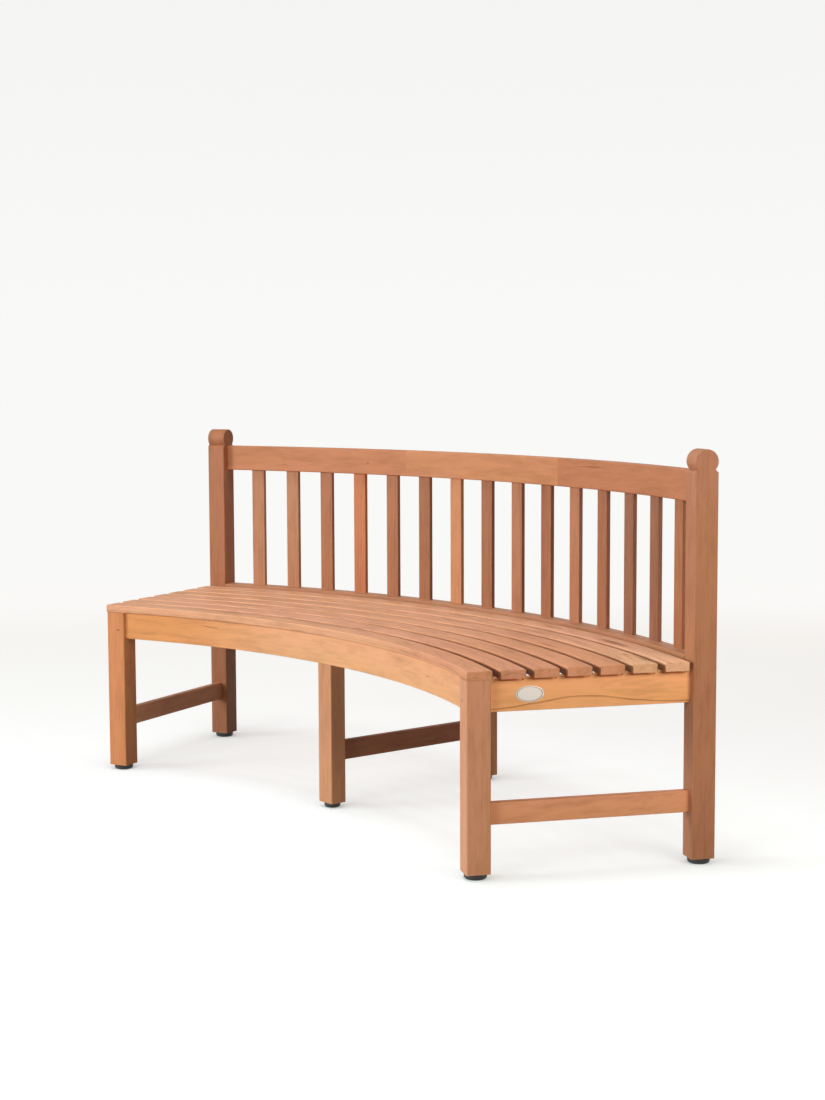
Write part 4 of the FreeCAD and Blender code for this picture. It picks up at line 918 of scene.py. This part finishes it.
def moulded_plastic():
    made = bpy.data.materials.new("glide_moulded")
    made.use_nodes = True
    tree = made.node_tree
    shader = tree.nodes["Principled BSDF"]
    point = object_point(tree)
    specks = noise(tree, point, GLIDE_SPECK)
    blotches = noise(tree, point, GLIDE_BLOTCHES, detail=3.0, roughness=0.6)
    low = one_minus(tree, step(tree, split(tree, point)["Z"], *SCUFF_HEIGHT))
    scuff = calculate(tree, "MULTIPLY", low, step(tree, blotches, *SCUFFED))
    share = calculate(tree, "MULTIPLY", scuff, SCUFF_SHARE)
    share = calculate(tree, "MULTIPLY_ADD", specks, SPECK_SHARE, share)
    tree.links.new(mix(tree, share, GLIDE_BLACK, GLIDE_GREY), shader.inputs["Base Color"])
    tree.links.new(calculate(tree, "MULTIPLY_ADD", scuff, SCUFF_ROUGHNESS, GLIDE_ROUGHNESS),
                   shader.inputs["Roughness"])
    bump = tree.nodes.new("ShaderNodeBump")
    bump.inputs["Strength"].default_value = 0.4
    bump.inputs["Distance"].default_value = SPECK_DEPTH
    tree.links.new(specks, bump.inputs["Height"])
    tree.links.new(bump.outputs[0], shader.inputs["Normal"])
    return made


glide_material = moulded_plastic()
glides = [name for name in nodes if name.startswith("glide_")]
for name in glides:
    nodes[name].material_slots[0].material = glide_material
print(len(glides), "glides")

# %% [markdown]
# The badge is a small oval plate of cast pewter on the right side rail. Casting rounds its outer edge and
# leaves a raised rim about a sunk field, and the field is bare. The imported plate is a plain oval, and bump
# in a material would not give the rim a true outline, so it is modelled: a flat cylinder is added at the
# origin and squeezed to an oval. Its front face is inset by the width of the rim, and then inset again and
# sunk, which makes the rim's inner slope.

# %% Shape the badge
BADGE_LENGTH = 0.064
BADGE_HEIGHT = 0.035
BADGE_THICKNESS = 0.002
BADGE_CORNERS = 96
RIM_WIDTH = 0.0017
RIM_SLOPE = 0.0005
FIELD_DEPTH = 0.0006


def choose(piece, kind, wanted):
    """In edit mode, select the faces or edges that pass the test, and nothing else."""
    bpy.ops.mesh.select_mode(type=kind)
    bpy.ops.mesh.select_all(action="DESELECT")
    bpy.ops.object.mode_set(mode="OBJECT")
    for part in piece.data.polygons if kind == "FACE" else piece.data.edges:
        part.select = wanted(part)
    bpy.ops.object.mode_set(mode="EDIT")


bpy.ops.object.select_all(action="DESELECT")
bpy.ops.mesh.primitive_cylinder_add(vertices=BADGE_CORNERS, radius=0.5, depth=1.0)
badge = bpy.context.object
badge.name = "oval_badge"
bpy.ops.transform.resize(value=(BADGE_LENGTH, BADGE_HEIGHT, BADGE_THICKNESS))
bpy.ops.object.transform_apply(location=False, rotation=False, scale=True)
bpy.ops.object.mode_set(mode="EDIT")
choose(badge, "FACE", lambda face: face.normal.z > 0.9)
bpy.ops.mesh.inset(thickness=RIM_WIDTH)
bpy.ops.mesh.inset(thickness=RIM_SLOPE, depth=-FIELD_DEPTH)
print("badge with", len(badge.data.vertices), "corners before the crown")

# %% [markdown]
# The crown. The field is extruded and drawn in again and again. Each ring keeps the proportions of the
# oval, which an inset of one width all round wouldn't, and rises by less than the one before, so the field
# is a shallow dome and not a cone. The outer edge of the plate gets its small round last.

# %% Crown the field and round the edge
CROWN = 0.00018
CROWN_RINGS = 5
EDGE_ROUND = 0.0004
SMOOTH_BELOW = math.radians(35)

ring_sizes = [1 - ring / (CROWN_RINGS + 1) for ring in range(CROWN_RINGS + 1)]
for outer, inner in zip(ring_sizes, ring_sizes[1:]):
    rise = CROWN * (outer ** 2 - inner ** 2)
    bpy.ops.mesh.extrude_region_move(TRANSFORM_OT_translate={"value": (0, 0, rise)})
    bpy.ops.transform.resize(value=(inner / outer, inner / outer, 1))


def on_outer_edge(edge):
    """Whether an edge of the plate lies on its outline, at the front."""
    ends = [badge.data.vertices[number].co for number in edge.vertices]
    return all((2 * end.x / BADGE_LENGTH) ** 2 + (2 * end.y / BADGE_HEIGHT) ** 2 > 0.99
               and end.z > BADGE_THICKNESS * 0.45 for end in ends)


choose(badge, "EDGE", on_outer_edge)
bpy.ops.mesh.bevel(offset=EDGE_ROUND, segments=3, affect="EDGES")
bpy.ops.object.mode_set(mode="OBJECT")
bpy.ops.object.shade_smooth_by_angle(angle=SMOOTH_BELOW)
print("badge with", len(badge.data.vertices), "corners")

# %% [markdown]
# Two studs on the back of the plate are glued into the rail and hold the badge. They don't show, but they
# are part of the piece. A stud is a short cylinder with rounded ends that sinks a little into the plate. It
# is made once and copied, and both are joined to the plate.

# %% Studs of the badge
STUD_DIAMETER = 0.004
STUD_LENGTH = 0.008
STUD_SPACING = 0.040
STUD_ROUND = 0.0005
STUD_SINK = 0.0004
STUD_CORNERS = 24

bpy.ops.object.select_all(action="DESELECT")
bpy.ops.mesh.primitive_cylinder_add(
    vertices=STUD_CORNERS, radius=STUD_DIAMETER / 2, depth=STUD_LENGTH + STUD_SINK,
    location=(-STUD_SPACING / 2, 0, -BADGE_THICKNESS / 2 - STUD_LENGTH / 2 + STUD_SINK / 2))
stud = bpy.context.object
rounding = stud.modifiers.new("rounding", "BEVEL")
rounding.width = STUD_ROUND
rounding.segments = 2
bpy.ops.object.modifier_apply(modifier=rounding.name)
bpy.ops.object.shade_smooth_by_angle(angle=SMOOTH_BELOW)
bpy.ops.object.duplicate_move(TRANSFORM_OT_translate={"value": (STUD_SPACING, 0, 0)})

bpy.ops.object.select_all(action="DESELECT")
for part in (stud, bpy.context.object, badge):
    part.select_set(True)
bpy.context.view_layer.objects.active = badge
bpy.ops.object.join()
print("badge and studs with", len(badge.data.vertices), "corners")

# %% [markdown]
# The badge so far lies flat at the origin. A matrix stands it on the rail: its long way goes along the
# rail, its short way up, and its face outwards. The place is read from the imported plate, so the badge
# sits where the model has it. Then the place is applied, which leaves the object at the origin and puts the
# whole move into the mesh.

# %% Set the badge on the rail
rail_along = outward(FRAME_ANGLE)
rail_out = along_bench(FRAME_ANGLE)
plate_points = [vertex.co for vertex in nodes["badge_plate"].data.vertices]
front = max(point.dot(rail_out) for point in plate_points)
low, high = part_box("badge_plate")
reaches = [point.dot(rail_along) for point in plate_points]
along = (min(reaches) + max(reaches)) / 2
middle = rail_along * along + rail_out * (front - BADGE_THICKNESS / 2) + UP * (low.z + high.z) / 2
turn = Matrix((rail_along, UP, rail_out)).transposed().to_4x4()
badge.matrix_world = Matrix.Translation(middle) @ turn
bpy.ops.object.transform_apply(location=True, rotation=True, scale=True)
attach(badge, "root")
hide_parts("badge_plate")
print("badge at", tuple(round(place, 4) for place in middle))

# %% [markdown]
# Pewter is a soft grey metal with a hint of yellow. A plain metallic shader would look like chrome foil, so
# the roughness is fairly high and uneven, the surface has the fine grain of a sand casting, and the groove
# inside the rim is dark, because polish and dust stay there. The groove follows the oval: the distance to
# the badge's middle, with the short way stretched, is the same all along it.

# %% Pewter
PEWTER = colour(204, 196, 186)
PEWTER_GROOVE = colour(92, 84, 76)
GROOVE_PLACE = 1 - 2 * (RIM_WIDTH + RIM_SLOPE) / BADGE_HEIGHT
GROOVE_WIDTH = 0.05
GROOVE_SHARE = 0.8
TARNISH = (240, 240, 240)
TARNISH_SHARE = 0.12
TARNISH_ROUGHNESS = 0.2
CASTING = (2200, 2200, 2200)
CASTING_DEPTH = 0.00012
PEWTER_ROUGHNESS = 0.28

material = bpy.data.materials.new("badge_pewter")
material.use_nodes = True
tree = material.node_tree
shader = tree.nodes["Principled BSDF"]
shader.inputs["Metallic"].default_value = 1.0
mapping = tree.nodes.new("ShaderNodeMapping")
mapping.vector_type = "TEXTURE"
mapping.inputs["Location"].default_value = middle
mapping.inputs["Rotation"].default_value = turn.to_euler()
tree.links.new(object_point(tree), mapping.inputs["Vector"])
point = mapping.outputs[0]
oval = vector_math(tree, "MULTIPLY", point, (2 / BADGE_LENGTH, 2 / BADGE_HEIGHT, 0))
oval = vector_math(tree, "LENGTH", oval)
off_groove = calculate(tree, "ABSOLUTE", calculate(tree, "SUBTRACT", oval, GROOVE_PLACE))
groove = one_minus(tree, step(tree, off_groove, 0.0, GROOVE_WIDTH))
tarnish = noise(tree, point, TARNISH, detail=3.0)
dull = calculate(tree, "MULTIPLY", tarnish, TARNISH_SHARE)
dull = calculate(tree, "MULTIPLY_ADD", groove, GROOVE_SHARE, dull)
tree.links.new(mix(tree, dull, PEWTER, PEWTER_GROOVE), shader.inputs["Base Color"])
tree.links.new(calculate(tree, "MULTIPLY_ADD", tarnish, TARNISH_ROUGHNESS, PEWTER_ROUGHNESS),
               shader.inputs["Roughness"])
bump = tree.nodes.new("ShaderNodeBump")
bump.inputs["Strength"].default_value = 0.35
bump.inputs["Distance"].default_value = CASTING_DEPTH
tree.links.new(noise(tree, point, CASTING), bump.inputs["Height"])
tree.links.new(bump.outputs[0], shader.inputs["Normal"])
badge.data.materials.clear()
badge.data.materials.append(material)
print(len(bpy.data.materials), "materials")

# %% [markdown]
# Last, the sizes. The dressed bench should fill the same box as the imported model, and the box that it fills
# is printed.

# %% Sizes
low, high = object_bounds()
print("dressed bench from", tuple(low), "to", tuple(high))
